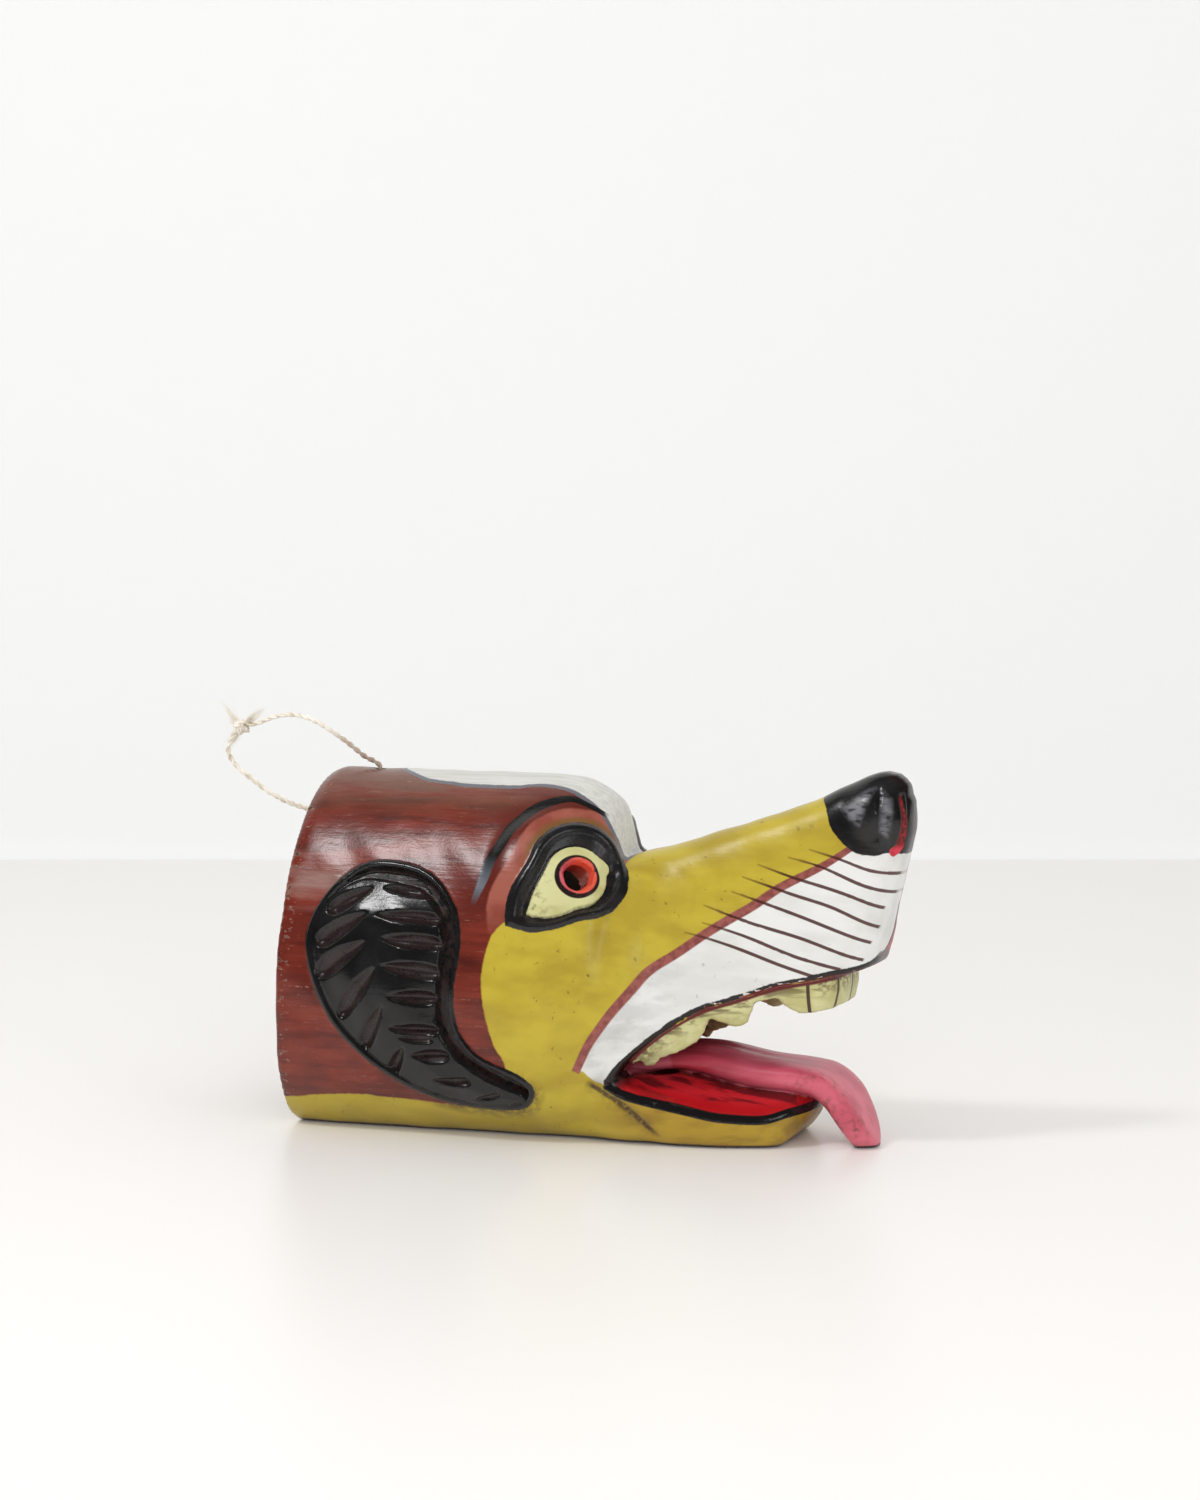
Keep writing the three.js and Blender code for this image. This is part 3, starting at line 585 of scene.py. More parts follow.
def ellipsoidField(centre, radii, x, y, z):
    px, py, pz = (x - centre[0]) / radii[0], (y - centre[1]) / radii[1], (z - centre[2]) / radii[2]
    near = np.sqrt(px ** 2 + py ** 2 + pz ** 2)
    slope = np.sqrt((px / radii[0]) ** 2 + (py / radii[1]) ** 2 + (pz / radii[2]) ** 2)
    return np.clip(near * (near - 1) / np.maximum(slope, 1e-4), -25, 60)


def tubeField(line, x, y, z):
    # distance to a line in space
    best = np.full(np.broadcast(x, y, z).shape, 1e9)
    for a, b in zip(line[:-1], line[1:]):
        d = b - a
        t = np.clip(((x - a[0]) * d[0] + (y - a[1]) * d[1] + (z - a[2]) * d[2]) / (d @ d), 0, 1)
        far = (x - a[0] - t * d[0]) ** 2 + (y - a[1] - t * d[1]) ** 2 + (z - a[2] - t * d[2]) ** 2
        best = np.minimum(best, far)
    return np.sqrt(best)


# Ear: low relief laid on the side of the head, as heights in millimetres over x and z

earLook = {
    "beadHeight": 1.1,       # rounded line that runs round the ear
    "beadWidth": 3.6,
    "channelFront": 4.6,     # cut between the line and the hair, deep in front and above
    "channelBack": 1.0,
    "rise": 0.8,             # edge of the hair
    "crown": 4.0,            # its swell towards the middle
    "crownReach": 20.0,
    "gougeDepth": 3.3,
}
earOutline = smoothLine([
    (-98, 132), (-76, 128), (-60, 115), (-53.5, 98), (-55, 76), (-54, 58), (-44, 44), (-25, 35), (-17.5, 27),
    (-24, 17), (-45, 15.5), (-70, 20), (-97, 34), (-118, 53), (-131, 77), (-134.5, 96), (-128, 114),
    (-114, 128)], closed=True, per=5)
earBody = smoothLine([
    (-97, 123), (-78, 119.5), (-67, 109), (-63, 95), (-64, 74), (-63, 56), (-53, 41), (-34, 29.5),
    (-23, 24), (-27, 18.5), (-46, 18), (-70, 23), (-95, 37), (-115, 55), (-128, 78), (-131, 96),
    (-125, 112), (-112, 122)], closed=True, per=5)
earGouges = [  # pointed end, round end, half the width
    ((-97, 119), (-65.5, 117.5), 3.4), ((-98, 106), (-63.5, 106), 3.4), ((-94, 95.5), (-62.5, 94.5), 3.9),
    ((-93, 83), (-62, 81), 4.3), ((-88, 69.5), (-63.5, 69.3), 3.6), ((-88, 54.8), (-63.5, 53.8), 3.0),
    ((-84, 50.5), (-66, 49.5), 1.8), ((-78, 42.5), (-58, 42), 3.2), ((-68, 30.5), (-48, 30), 2.6),
    ((-48.5, 20.5), (-34, 24.5), 1.9), ((-33, 17.8), (-23.5, 20), 1.3),
    ((-102, 119), (-124, 107), 4.4), ((-101.5, 107), (-128.5, 92), 5.2), ((-100.5, 94), (-128, 77), 5.2),
    ((-95, 82.5), (-115, 58), 4.8), ((-90, 66), (-104, 42), 4.4), ((-80, 47), (-90, 30), 3.4),
    ((-50, 37), (-29, 27.5), 1.6),
]


def earRelief(x, z):
    # height of the carving, the depth of a gouge and of the channel there, and the distance outside the ear
    look = earLook
    inside = -lineDistance(x, z, earOutline, True)[0]
    body = -lineDistance(x, z, earBody, True)[0]
    bead = look["beadHeight"] * np.sin(math.pi * np.clip(inside / look["beadWidth"], 0, 0.999)) ** 0.8
    front = ease((x + 112 + 0.35 * (z - 90)) / 35)
    channel = look["channelBack"] + (look["channelFront"] - look["channelBack"]) * front
    channel = channel * ease((inside - 2.5) / 1.5)
    onBody = ease((body + 0.5) / 1.7)
    hair = look["rise"] + look["crown"] * ease(body / look["crownReach"])
    gouge = np.zeros(inside.shape)
    for (ax, az), (bx, bz), half in earGouges:
        long = math.hypot(bx - ax, bz - az)
        u = np.clip(((x - ax) * (bx - ax) + (z - az) * (bz - az)) / long ** 2, 0, 1)
        v = ((z - az) * (bx - ax) - (x - ax) * (bz - az)) / long
        swell = 2.15 * u ** 0.8 * (1 - u) ** 0.4    # pointed where it starts, round where it ends
        scoop = np.maximum(0, 1 - (v / (swell * half + 0.01)) ** 2)
        gouge = np.maximum(gouge, look["gougeDepth"] * min(1, half / 3) * np.minimum(swell * 1.2, 1) * scoop)
    gouge, channel = gouge * onBody, channel * (1 - onBody)
    return bead - channel + hair * onBody - gouge, gouge, channel, -inside


# Eye, in its own frame: along, up and out of its plane

eyeLook = {
    "centre": (-3.5, -44.5, 126.6),
    "forward": 34.0,         # degrees turned from sideways to forward
    "up": 20.0,
    "ring": ((2.2, 3.2), 24.7, (-34.0, -20.5), (6.5, -5.0)),   # centre, radius, corner, bows below and above
    "ball": ((0.2, 0.2), 15.2, (-25.2, -16.4), (4.6, -1.2)),
    "ballPoint": 2.5,        # slight point of the eyeball towards the nose
    "beadHeight": 1.5,       # rounded outer edge of the black ring
    "valley": 2.6,           # the ring's dip beside the eyeball
    "ballEdge": 0.3,
    "ballSwell": 1.0,
    "pupilRadius": 7.0,
    "pupilReach": 34.0,
    "browRadii": (33.0, 34.0, 14.0),
    "browPlace": (-5.0, 0.0, -15.0),
    "farSunk": 6.2,          # the far brow stands out less: nothing of it shows past the crown
}
eyeForward, eyeUp = math.radians(eyeLook["forward"]), math.radians(eyeLook["up"])
eyeOut = np.array([math.sin(eyeForward) * math.cos(eyeUp), -math.cos(eyeForward) * math.cos(eyeUp),
                   math.sin(eyeUp)])
eyeAlong = np.array([math.cos(eyeForward), math.sin(eyeForward), 0.0])
eyeRise = np.cross(eyeOut, eyeAlong)


def inEyeFrame(x, y, z):
    # y is the distance from the middle of the head, so both eyes are read as the dog's right one
    cx, cy, cz = eyeLook["centre"]
    dx, dy, dz = x - cx, -y - cy, z - cz
    return [dx * axis[0] + dy * axis[1] + dz * axis[2] for axis in (eyeAlong, eyeRise, eyeOut)]


def dropLine(centre, radius, corner, bows, point=0.0):
    # a circle drawn out to one corner by two bowed sides
    du, dv = corner[0] - centre[0], corner[1] - centre[1]
    aim, half = math.atan2(dv, du), math.acos(radius / math.hypot(du, dv))
    turns = np.linspace(aim + half, aim + 2 * math.pi - half, 40)
    reach = radius + point * np.exp(-((np.degrees(turns) % 360 - 16) / 14) ** 2)
    arc = np.stack([centre[0] + reach * np.cos(turns), centre[1] + reach * np.sin(turns)], 1)
    t = np.linspace(0, 1, 9)[:, None]
    sides = []
    for end, bow in zip((arc[0], arc[-1]), bows):
        along = end - corner
        out = np.array([along[1], -along[0]]) / np.hypot(*along)
        sides.append(corner + t * along + bow * out * np.sin(math.pi * t) * np.sqrt(1 - t))
    lower, upper = sides
    return np.vstack([lower[:-1], arc, upper[-2:0:-1]])


ringLine = dropLine(*eyeLook["ring"])
ballLine = dropLine(*eyeLook["ball"], eyeLook["ballPoint"])


def eyeRelief(u, v):
    # height over the brow pad, and the distances outside the ring and the eyeball
    look = eyeLook
    ring = -lineDistance(u, v, ringLine, True)[0]
    ball = -lineDistance(u, v, ballLine, True)[0]
    share = np.clip(ring / np.maximum(ring - ball, 1e-3), 0, 1)
    bead = look["beadHeight"] * np.sin(math.pi * np.clip(ring / 6.5, 0, 0.999))
    dip = look["valley"] * ease((share - 0.35) / 0.65) * ease(ring / 3)
    onBall = ease((ball + 0.6) / 1.2)
    level = look["ballEdge"] + look["ballSwell"] * ease(ball / 9)
    return (bead - dip) * (1 - onBall) + level * onBall, -ring, -ball


def carveEye():
    # the brow pads that the eyes are carved on, flatter on the far side, and the bore through a pupil
    u, v, out = inEyeFrame(gridX, gridY, gridZ)
    pads = [ellipsoidField(eyeLook["browPlace"], eyeLook["browRadii"], u, v, out + sunk)
            for sunk in (0.0, eyeLook["farSunk"])]
    angle = np.arctan2(v - 0.5, u - 0.5)
    ragged = 0.35 * np.sin(3 * angle + 1) + 0.3 * np.sin(7 * angle) * np.clip(np.cos(angle), 0, 1)
    flare = 1.3 * np.exp(-np.clip(-1 - out, 0, 30) / 1.2)
    bore = np.hypot(u - 0.5, v - 0.5) - eyeLook["pupilRadius"] - ragged - flare
    bore = np.maximum(np.maximum(bore, -eyeLook["pupilReach"] - 4 - out), out - 6)
    return pads, bore


# Nose: a crease in each wing and the slit of the nostril, cut into its finished ball

noseLook = {"foldDepth": 1.7, "foldWidth": 1.3, "slitDepth": 1.6, "slitWidth": 2.6}
noseFold = smoothLine([(135, 12.5, 171), (136.7, 16, 166.5), (137, 17.8, 160), (136.9, 18.3, 154),
                       (136.3, 17.6, 148.5)], per=5)
noseSlit = smoothLine([(145.4, 8.8, 167), (146.6, 9.8, 160.9), (147, 10.4, 155.2), (146.8, 10.4, 149.4),
                       (145.4, 10.6, 144.8), (144.2, 11.6, 142.4), (142.8, 12.6, 141.4)], per=5)


def noseRelief(x, y, z):
    # height of the cuts, and the distance to the slit with how far along it
    fold, slit = tubeField(noseFold, x, y, z), tubeField(noseSlit, x, y, z)
    cut = noseLook["foldDepth"] * np.exp(-(fold / noseLook["foldWidth"]) ** 2)
    cut += noseLook["slitDepth"] * ease(1 - slit / noseLook["slitWidth"])
    return -cut, slit


# Teeth

toothLook = {"inset": 5.5, "thick": 6.0, "bendX": 104.0, "bendReach": 13.0}
toothProfile = [
    (29, 41.5), (30, 38), (35, 38), (37, 41.5), (45, 44.5), (53.5, 49.5), (57, 54), (59.5, 61), (69, 58),
    (71.5, 57), (77, 59), (79, 64), (81, 69.5), (86, 70.5), (91, 72), (95, 68), (101, 65), (109, 65.5),
    (120, 68), (126, 70.5), (128.5, 73), (129, 92)]
toothRoots = [(94, 86), (60, 75), (38, 62), (22, 48)]   # upper edge of the row, hidden in the jaw


def toothRow():
    # the middle line of the row in plan, one half
    look = toothLook
    side = [(x, float(through(lipWidth, x)) - look["inset"]) for x in (26, 36, 48, 60, 74, 88, 97)]
    wide = float(through(lipWidth, look["bendX"])) - look["inset"]
    turn = np.radians(np.linspace(20, 90, 9))
    front = [(look["bendX"] + look["bendReach"] * math.sin(a) ** 0.8, wide * max(math.cos(a), 0) ** 0.7)
             for a in turn]
    return side + front


def toothField():
    plan = lineDistance(gridX[:, :, 0], gridY[0, :, 0][None, :], toothRow())[0]
    plan = np.abs(plan)[:, :, None]
    low = float(through(upperLip, 22)) - 2
    side = lineDistance(planX, planZ, [(22, low)] + toothProfile + toothRoots, True)[0][:, None, :]
    half = toothLook["thick"] / 2 * (0.5 + 0.5 * ease(-side / 9))
    return keep(plan - half, side + 0 * gridY, 1.3)


# Tongue

tongueLook = {"halfWidth": 20.5, "above": 4.0, "below": 9.5, "lift": 0.6, "lean": 5.0}
tongueSpine = smoothLine([(12, 30), (32, 36), (52, 37), (76, 33.5), (96, 33), (108, 31.5), (117.7, 25),
                          (124.3, 16), (129.2, 7.5), (132.4, 0.2)], per=14)


def tongueField(x, y, z):
    # x, z: side grid (n, 1) and (1, m); y: the whole width
    look = tongueLook
    line = tongueSpine
    gone = np.concatenate([[0], np.cumsum(np.linalg.norm(np.diff(line, axis=0), axis=1))])
    tangent = np.gradient(line, axis=0)
    tangent /= np.linalg.norm(tangent, axis=1)[:, None]
    far = (x[:, :, None] - line[:, 0]) ** 2 + (z[:, :, None] - line[:, 1]) ** 2
    near = far.argmin(2)
    dx, dz = x - line[near, 0], z - line[near, 1]
    tx, tz = tangent[near, 0], tangent[near, 1]
    ahead = dx * tx + dz * tz
    over = -dx * tz + dz * tx
    s = np.clip((gone[near] + ahead) / gone[-1], 0, 1)
    beyond = np.where(near == len(line) - 1, np.maximum(ahead, 0), 0)
    tip = arch((s - 0.78) / 0.224, 2.0)
    width = look["halfWidth"] * (1.15 - 0.2 * s) * np.maximum(tip, 0.25)
    droop = ease((s - 0.4) / 0.35)
    thin = 0.7 + 0.3 * tip
    above = (7 + (look["above"] - 7) * droop) * thin
    below = (5 + (look["below"] - 5) * ease((s - 0.12) / 0.3)) * thin
    square = 0.9 - 0.3 * droop
    thick = np.where(over > 0, above, below)
    power = 2 / square
    lean = look["lean"] * ease((s - 0.62) / 0.38)
    across = np.abs(y + lean[:, None, :]) / width[:, None, :]
    groove = 0.9 * np.exp(-(across * width[:, None, :] / 3.0) ** 2) * (1 - droop[:, None, :])
    r = (across ** power[:, None, :] + (np.abs(over) / thick)[:, None, :] ** power[:, None, :]
         + (beyond[:, None, :] / 4.0) ** 2) ** (1 / power[:, None, :])
    return np.clip(asDistance(r - 1) + groove * (over > 0)[:, None, :], -25, 25)


def hollowField():
    c = carving
    deep = np.clip((gridX - c["hollowRoundX"]) / (c["hollowEndX"] - c["hollowRoundX"]), 0, 1)
    shrink = np.maximum(np.sqrt(1 - deep ** 2), 0.12)
    width = through(cheekWidth, gridX) - c["wall"]
    top = through(crownLine, np.maximum(gridX, -140)) - c["wall"]
    y = gridY / shrink
    z = c["hollowMidZ"] + (gridZ - c["hollowMidZ"]) / shrink
    upper = ((y / width) ** 1.8 + (np.maximum(z - c["cheekZ"], 0) / (top - c["cheekZ"])) ** 1.8) ** (1 / 1.8)
    floor = c["cheekZ"] - c["floorWall"]
    lower = ((y / width) ** 2.7 + (np.maximum(c["cheekZ"] - z, 0) / floor) ** 2.7) ** (1 / 2.7)
    field = asDistance(np.where(z >= c["cheekZ"], upper, lower) - 1)
    # the scaled field is too small far outside the hollow's narrow end, so a ball's distance holds there
    radius, slack = c["hollowBall"]
    field = np.maximum(field, np.hypot(gridY, gridZ - c["hollowMidZ"]) - radius * shrink - slack)
    angle = np.arctan2(gridZ - c["hollowMidZ"], gridY + 1e-6)
    marks = np.abs(np.sin(gridX / 13.0 + 2.2 * np.sin(angle * 3.0))) * np.abs(np.cos(angle * 11.0))
    return np.maximum(field + c["scallop"] * marks, gridX - c["hollowEndX"])


farForehead = {
    "slope": (0.92, 0.35, 0.17),     # the way it falls off, along x, y and z
    "slopeZ": 135,
    "reach": 10.7,           # how far out it goes at the crown
    "lowReach": 30,          # how much further below, and the heights over which that grows
    "fromZ": 136,
    "overZ": 24,
    "middleReach": 3,        # how much further at the middle, and over what width
    "middleWidth": 10,
}
jawCrease = smoothLine([(7, 55.5, 30.5), (14.5, 54, 25.5), (22, 52, 21), (30.3, 48.1, 13.2), (36.8, 43, 5.1)],
                       per=5)


def foreheadEnd(look):
    # how far a place lies past the end of the far forehead, which falls away sooner than the near one
    lower = ease((look["fromZ"] - gridZ) / look["overZ"])
    middle = 1 - ease(gridY / look["middleWidth"])
    limit = look["reach"] + look["lowReach"] * lower + look["middleReach"] * middle
    x, y, z = look["slope"]
    return x * gridX + y * gridY + z * (gridZ - look["slopeZ"]) - limit


def carveMask():
    c = carving
    gap = [(x, float(through(upperLip, x))) for x in (14, 17, 22, 30, 38, 50)]
    gap += [(x, float(through(lowerLip, x))) for x in (50, 38, 30, 22, 17)]
    mouthGap = lineDistance(planX, planZ, gap, True)[0][:, None, :] + 0 * gridY
    mouthGap[gridX[:, 0, 0] > c["mouthGapEndX"]] = 30
    cheek = cut(headField(), mouthGap, 1.6)
    pastCrown = foreheadEnd(farForehead)
    farCheek = keep(cheek, pastCrown, 3.0)
    lip = through(upperLip, gridX)
    blend = 1.5 + 9 * ease((gridZ - lip - 4) / 18) * (1 - 0.85 * ease((gridZ - 118) / 16))
    muzzle, jaw = muzzleField(), jawField()
    print("  head, muzzle and jaw")
    palate = palateField()
    throat = ellipsoidField(*c["throat"], gridX, gridY, gridZ)
    mouth = np.minimum(np.minimum(palate, throat), mouthGap)
    wing = ellipsoidField(*c["noseWing"], gridX, gridY, gridZ)
    near = (gridX[:, 0, 0] > -6) & (gridX[:, 0, 0] < 40)     # the slices that the crease passes
    waver = (np.sin(gridX / 7.1 + 1.3 * np.sin(gridZ / 11)) * np.sin(gridZ / 6.3 + gridY / 9)
             + 0.6 * np.sin(gridX / 3.9 + gridZ / 5.2))
    pads, bore = carveEye()
    pads[1] = keep(pads[1], pastCrown + 1.5, 2.0)    # leaves room for the height of the ring on it
    halves = []
    for side, pad in zip((cheek, farCheek), pads):
        side = join(join(side, muzzle, blend), jaw, 1.5)   # wide and soft on the cheek, tight at the brow
        side = cut(cut(side, palate, 2.0), throat, 3.0)
        side = join(side, wing, 3.0)
        side[near] = cut(side[near], tubeField(jawCrease, gridX[near], gridY, gridZ) - 1.6, 1.5)
        halves.append(join(side + c["waver"] * waver, pad, 6.0))
    body, farBody = halves
    print("  nose, brow and pupils")
    tooth = toothField()
    hollow = hollowField()
    whole = {}
    for name, part, farPart in (("body", body, farBody), ("tooth", tooth, tooth), ("hollow", hollow, hollow),
                                ("bore", bore, bore), ("mouth", mouth, mouth)):
        part, farPart = (np.clip(half + 0 * gridX, -30, 30).astype(np.float32) for half in (part, farPart))
        whole[name] = np.concatenate([part[:, :0:-1], farPart], axis=1)
    fullY = (np.arange(gridFirst[1], 1 - gridFirst[1]) * step)[None, :, None]
    tongue = np.full(whole["body"].shape, 30, np.float32)
    near = (gridX[:, 0, 0] > 8) & (gridX[:, 0, 0] < 142)
    tongue[near] = tongueField(gridX[near][:, :, 0], fullY, gridZ[:, 0, :])
    whole["tongue"] = tongue
    solid = join(whole["body"], whole["tooth"], 0.7)
    solid = join(solid, tongue, 1.0)
    solid = keep(solid, -gridZ + 0 * solid, 0.8)
    solid = cut(solid, whole["hollow"], 1.6)
    solid = cut(solid, whole["bore"], 0.8)
    hole = np.hypot(gridX - c["twineHoleX"], fullY) - c["twineHoleRadius"]
    hole = np.maximum(hole + 0 * gridZ, c["twineHoleLowZ"] - gridZ)
    whole["solid"] = cut(solid, hole, 1.0).astype(np.float32)
    print("  mouth, hollow and holes")
    return whole


def sampled(field, points):
    # value of a grid field at points in millimetres
    at = points / step - gridFirst
    top = np.array(field.shape) - 1.001
    at = np.clip(at, 0, top)
    i = at.astype(int)
    f = at - i
    value = np.zeros(len(points))
    for a in (0, 1):
        for b in (0, 1):
            for c in (0, 1):
                weight = ((f[:, 0] if a else 1 - f[:, 0]) * (f[:, 1] if b else 1 - f[:, 1])
                          * (f[:, 2] if c else 1 - f[:, 2]))
                value += weight * field[i[:, 0] + a, i[:, 1] + b, i[:, 2] + c]
    return value


def surfaceOf(field):
    # one vertex in every grid cell that the surface passes, one face round every grid line that it cuts
    low = gridFirst * step
    inside = field < 0
    cells = np.zeros(np.array(field.shape) - 1, np.uint8)
    for a in (0, 1):
        for b in (0, 1):
            for c in (0, 1):
                cells += inside[a:cells.shape[0] + a, b:cells.shape[1] + b, c:cells.shape[2] + c]
    spot = np.argwhere((cells > 0) & (cells < 8))
    number = np.full(cells.shape, -1, np.int64)
    number[tuple(spot.T)] = np.arange(len(spot))
    corners = np.array([(a, b, c) for a in (0, 1) for b in (0, 1) for c in (0, 1)])
    value = np.stack([field[tuple((spot + k).T)] for k in corners])
    total, hits = np.zeros((len(spot), 3)), np.zeros(len(spot))
    for i in range(8):
        for j in range(i + 1, 8):
            if np.abs(corners[i] - corners[j]).sum() != 1:
                continue
            crossed = (value[i] < 0) != (value[j] < 0)
            share = np.where(crossed, value[i] / np.where(crossed, value[i] - value[j], 1), 0)
            total += np.where(crossed[:, None], corners[i] + share[:, None] * (corners[j] - corners[i]), 0)
            hits += crossed
    points = (spot + total / hits[:, None]) * step + low
    faces = []
    for axis in range(3):
        b, c = (axis + 1) % 3, (axis + 2) % 3
        first = np.take(inside, np.arange(field.shape[axis] - 1), axis)
        after = np.take(inside, np.arange(1, field.shape[axis]), axis)
        edge = np.argwhere(first != after)
        edge = edge[(edge[:, b] > 0) & (edge[:, c] > 0)]
        goesOut = first[tuple(edge.T)]
        ring = []
        for sb, sc in ((-1, -1), (0, -1), (0, 0), (-1, 0)):
            cell = edge.copy()
            cell[:, b] += sb
            cell[:, c] += sc
            ring.append(number[tuple(cell.T)])
        quad = np.stack(ring, 1)
        quad[~goesOut] = quad[~goesOut][:, ::-1]
        faces.append(quad)
    return points, np.concatenate(faces)


def settle(points, field, slopes, rounds=3):
    # moves points along the slope onto the surface itself
    for _ in range(rounds):
        away = sampled(field, points)
        slope = np.stack([sampled(s, points) for s in slopes], 1)
        size = np.maximum((slope ** 2).sum(1), 0.2)
        shift = np.clip(away / size, -0.7, 0.7)
        points = points - slope * shift[:, None]
    return points


def pointsOf(mesh):
    flat = np.zeros(len(mesh.vertices) * 3)
    mesh.vertices.foreach_get("co", flat)
    return flat.reshape(-1, 3)


def setPoints(mesh, places):
    mesh.vertices.foreach_set("co", np.asarray(places, float).ravel())


def outwards(places):
    normal = np.stack([sampled(s, places) for s in slopes], 1)
    return normal / np.linalg.norm(normal, axis=1)[:, None]


def finer(mesh, chosen):
    # splits the chosen faces in four
    work = bmesh.new()
    work.from_mesh(mesh)
    work.faces.ensure_lookup_table()
    edges = list(dict.fromkeys(edge for i in np.flatnonzero(chosen) for edge in work.faces[int(i)].edges))
    bmesh.ops.subdivide_edges(work, edges=edges, cuts=1, use_grid_fill=True)
    work.to_mesh(mesh)
    work.free()


def reliefOf(places, normal):
    # the ears, eyes and nose as heights over the smooth carving, and what the paint needs to know of them
    x, side, z = places[:, 0], np.abs(places[:, 1]), places[:, 2]
    outer = ((sampled(fields["hollow"], places) > 3) | (x > carving["hollowEndX"] - 6)) & (side > 5)
    onSide = outer & (np.abs(normal[:, 1]) > 0.3)
    ear, gouge, channel, earEdge = earRelief(x, z)
    earEdge = np.where(onSide & (side > 30), earEdge, 40)
    u, v, out = inEyeFrame(x, side, z)
    eye, ringEdge, ballEdge = eyeRelief(u, v)
    near = outer & (out > -28)
    eye = np.where(np.hypot(u - 0.5, v - 0.5) < 7.4, eye * ease((out + 5) / 3), eye)    # not down in the bore
    cuts, slit = noseRelief(x, side, z)
    height = np.where(earEdge < 0, ear, 0) + np.where(near & (ringEdge < 0), eye, 0)
    height = height + np.where((x > 120) & (z > 130), cuts, 0)
    return height, {
        "earEdge": earEdge, "gougeDeep": np.where(earEdge < 0, gouge, 0),
        "channelDeep": np.where(earEdge < 0, channel, 0), "eyeSide": u, "eyeUp": v, "boreDeep": -out,
        "ringEdge": np.where(near, ringEdge, 40), "ballEdge": np.where(near, ballEdge, 40),
        "pupilAway": np.where(out > -50, np.hypot(u - 0.6, v - 0.3), 60), "slitAway": slit}


def thinned(mesh, weights, most):
    # fewer faces where the surface is smooth, and fewest in the hollow and on the flat underside
    made = linkObject("thinning", mesh)
    group = made.vertex_groups.new(name="plain")
    for level in (0.0, 1.0):
        chosen = np.flatnonzero(weights == level).tolist()
        group.add(chosen, level, "REPLACE")
    modifier = made.modifiers.new("thin", "DECIMATE")
    modifier.ratio = min(1.0, most / sum(len(face.vertices) - 2 for face in mesh.polygons))
    modifier.vertex_group = "plain"
    modifier.vertex_group_factor = 10
    graph = bpy.context.evaluated_depsgraph_get()
    kept = bpy.data.meshes.new_from_object(made.evaluated_get(graph), depsgraph=graph)
    bpy.data.objects.remove(made)
    return kept


fields = carveMask()
slopes = [s.astype(np.float32) for s in np.gradient(fields["solid"], step)]
points, faces = surfaceOf(fields["solid"])
points = settle(points, fields["solid"], slopes)
print(f"  surface: {len(points)} points, {len(faces)} faces")

rough = bpy.data.meshes.new("roughMask")
rough.from_pydata(points.tolist(), [], faces.tolist())
_, marks = reliefOf(points, outwards(points))
detailed = (marks["earEdge"] < 1.5) | (marks["ringEdge"] < 2.5) | (marks["slitAway"] < 5)
finer(rough, detailed[faces].all(1))
points = settle(pointsOf(rough), fields["solid"], slopes, 1)
height, marks = reliefOf(points, outwards(points))
setPoints(rough, points + outwards(points) * height[:, None])
basePlace = rough.attributes.new("basePlace", "FLOAT_VECTOR", "POINT")
basePlace.data.foreach_set("vector", points.astype(np.float32).ravel())
plain = ((sampled(fields["hollow"], points) < 1.0) | (points[:, 2] < 0.4)
         | (sampled(fields["mouth"], points) < 0.5) & (sampled(fields["tooth"], points) > 2)
         & (sampled(fields["tongue"], points) > 2))
print(f"  with ears, eyes and nose: {len(points)} points")
maskMesh = thinned(rough, plain.astype(float), carving["mostTriangles"])
maskMesh.name = "carvedMask"
count = len(maskMesh.vertices)
points = np.zeros(count * 3)
maskMesh.attributes["basePlace"].data.foreach_get("vector", points)
maskMesh.attributes.remove(maskMesh.attributes["basePlace"])
points = settle(points.reshape(-1, 3), fields["solid"], slopes, 1)
normals = outwards(points)
height, marks = reliefOf(points, normals)
setPoints(maskMesh, (points + normals * height[:, None]) * toMetres)
maskMesh.polygons.foreach_set("use_smooth", np.ones(len(maskMesh.polygons), bool))
maskMesh.update()
mask = linkObject("carvedMask", maskMesh)
print(f"  thinned: {count} points, {len(maskMesh.polygons)} faces")


# Paint: where each colour ends, kept on the mesh. A name in Edge is millimetres outside the colour,
# a name in Across is the share of a stroke's half width, negative on one side

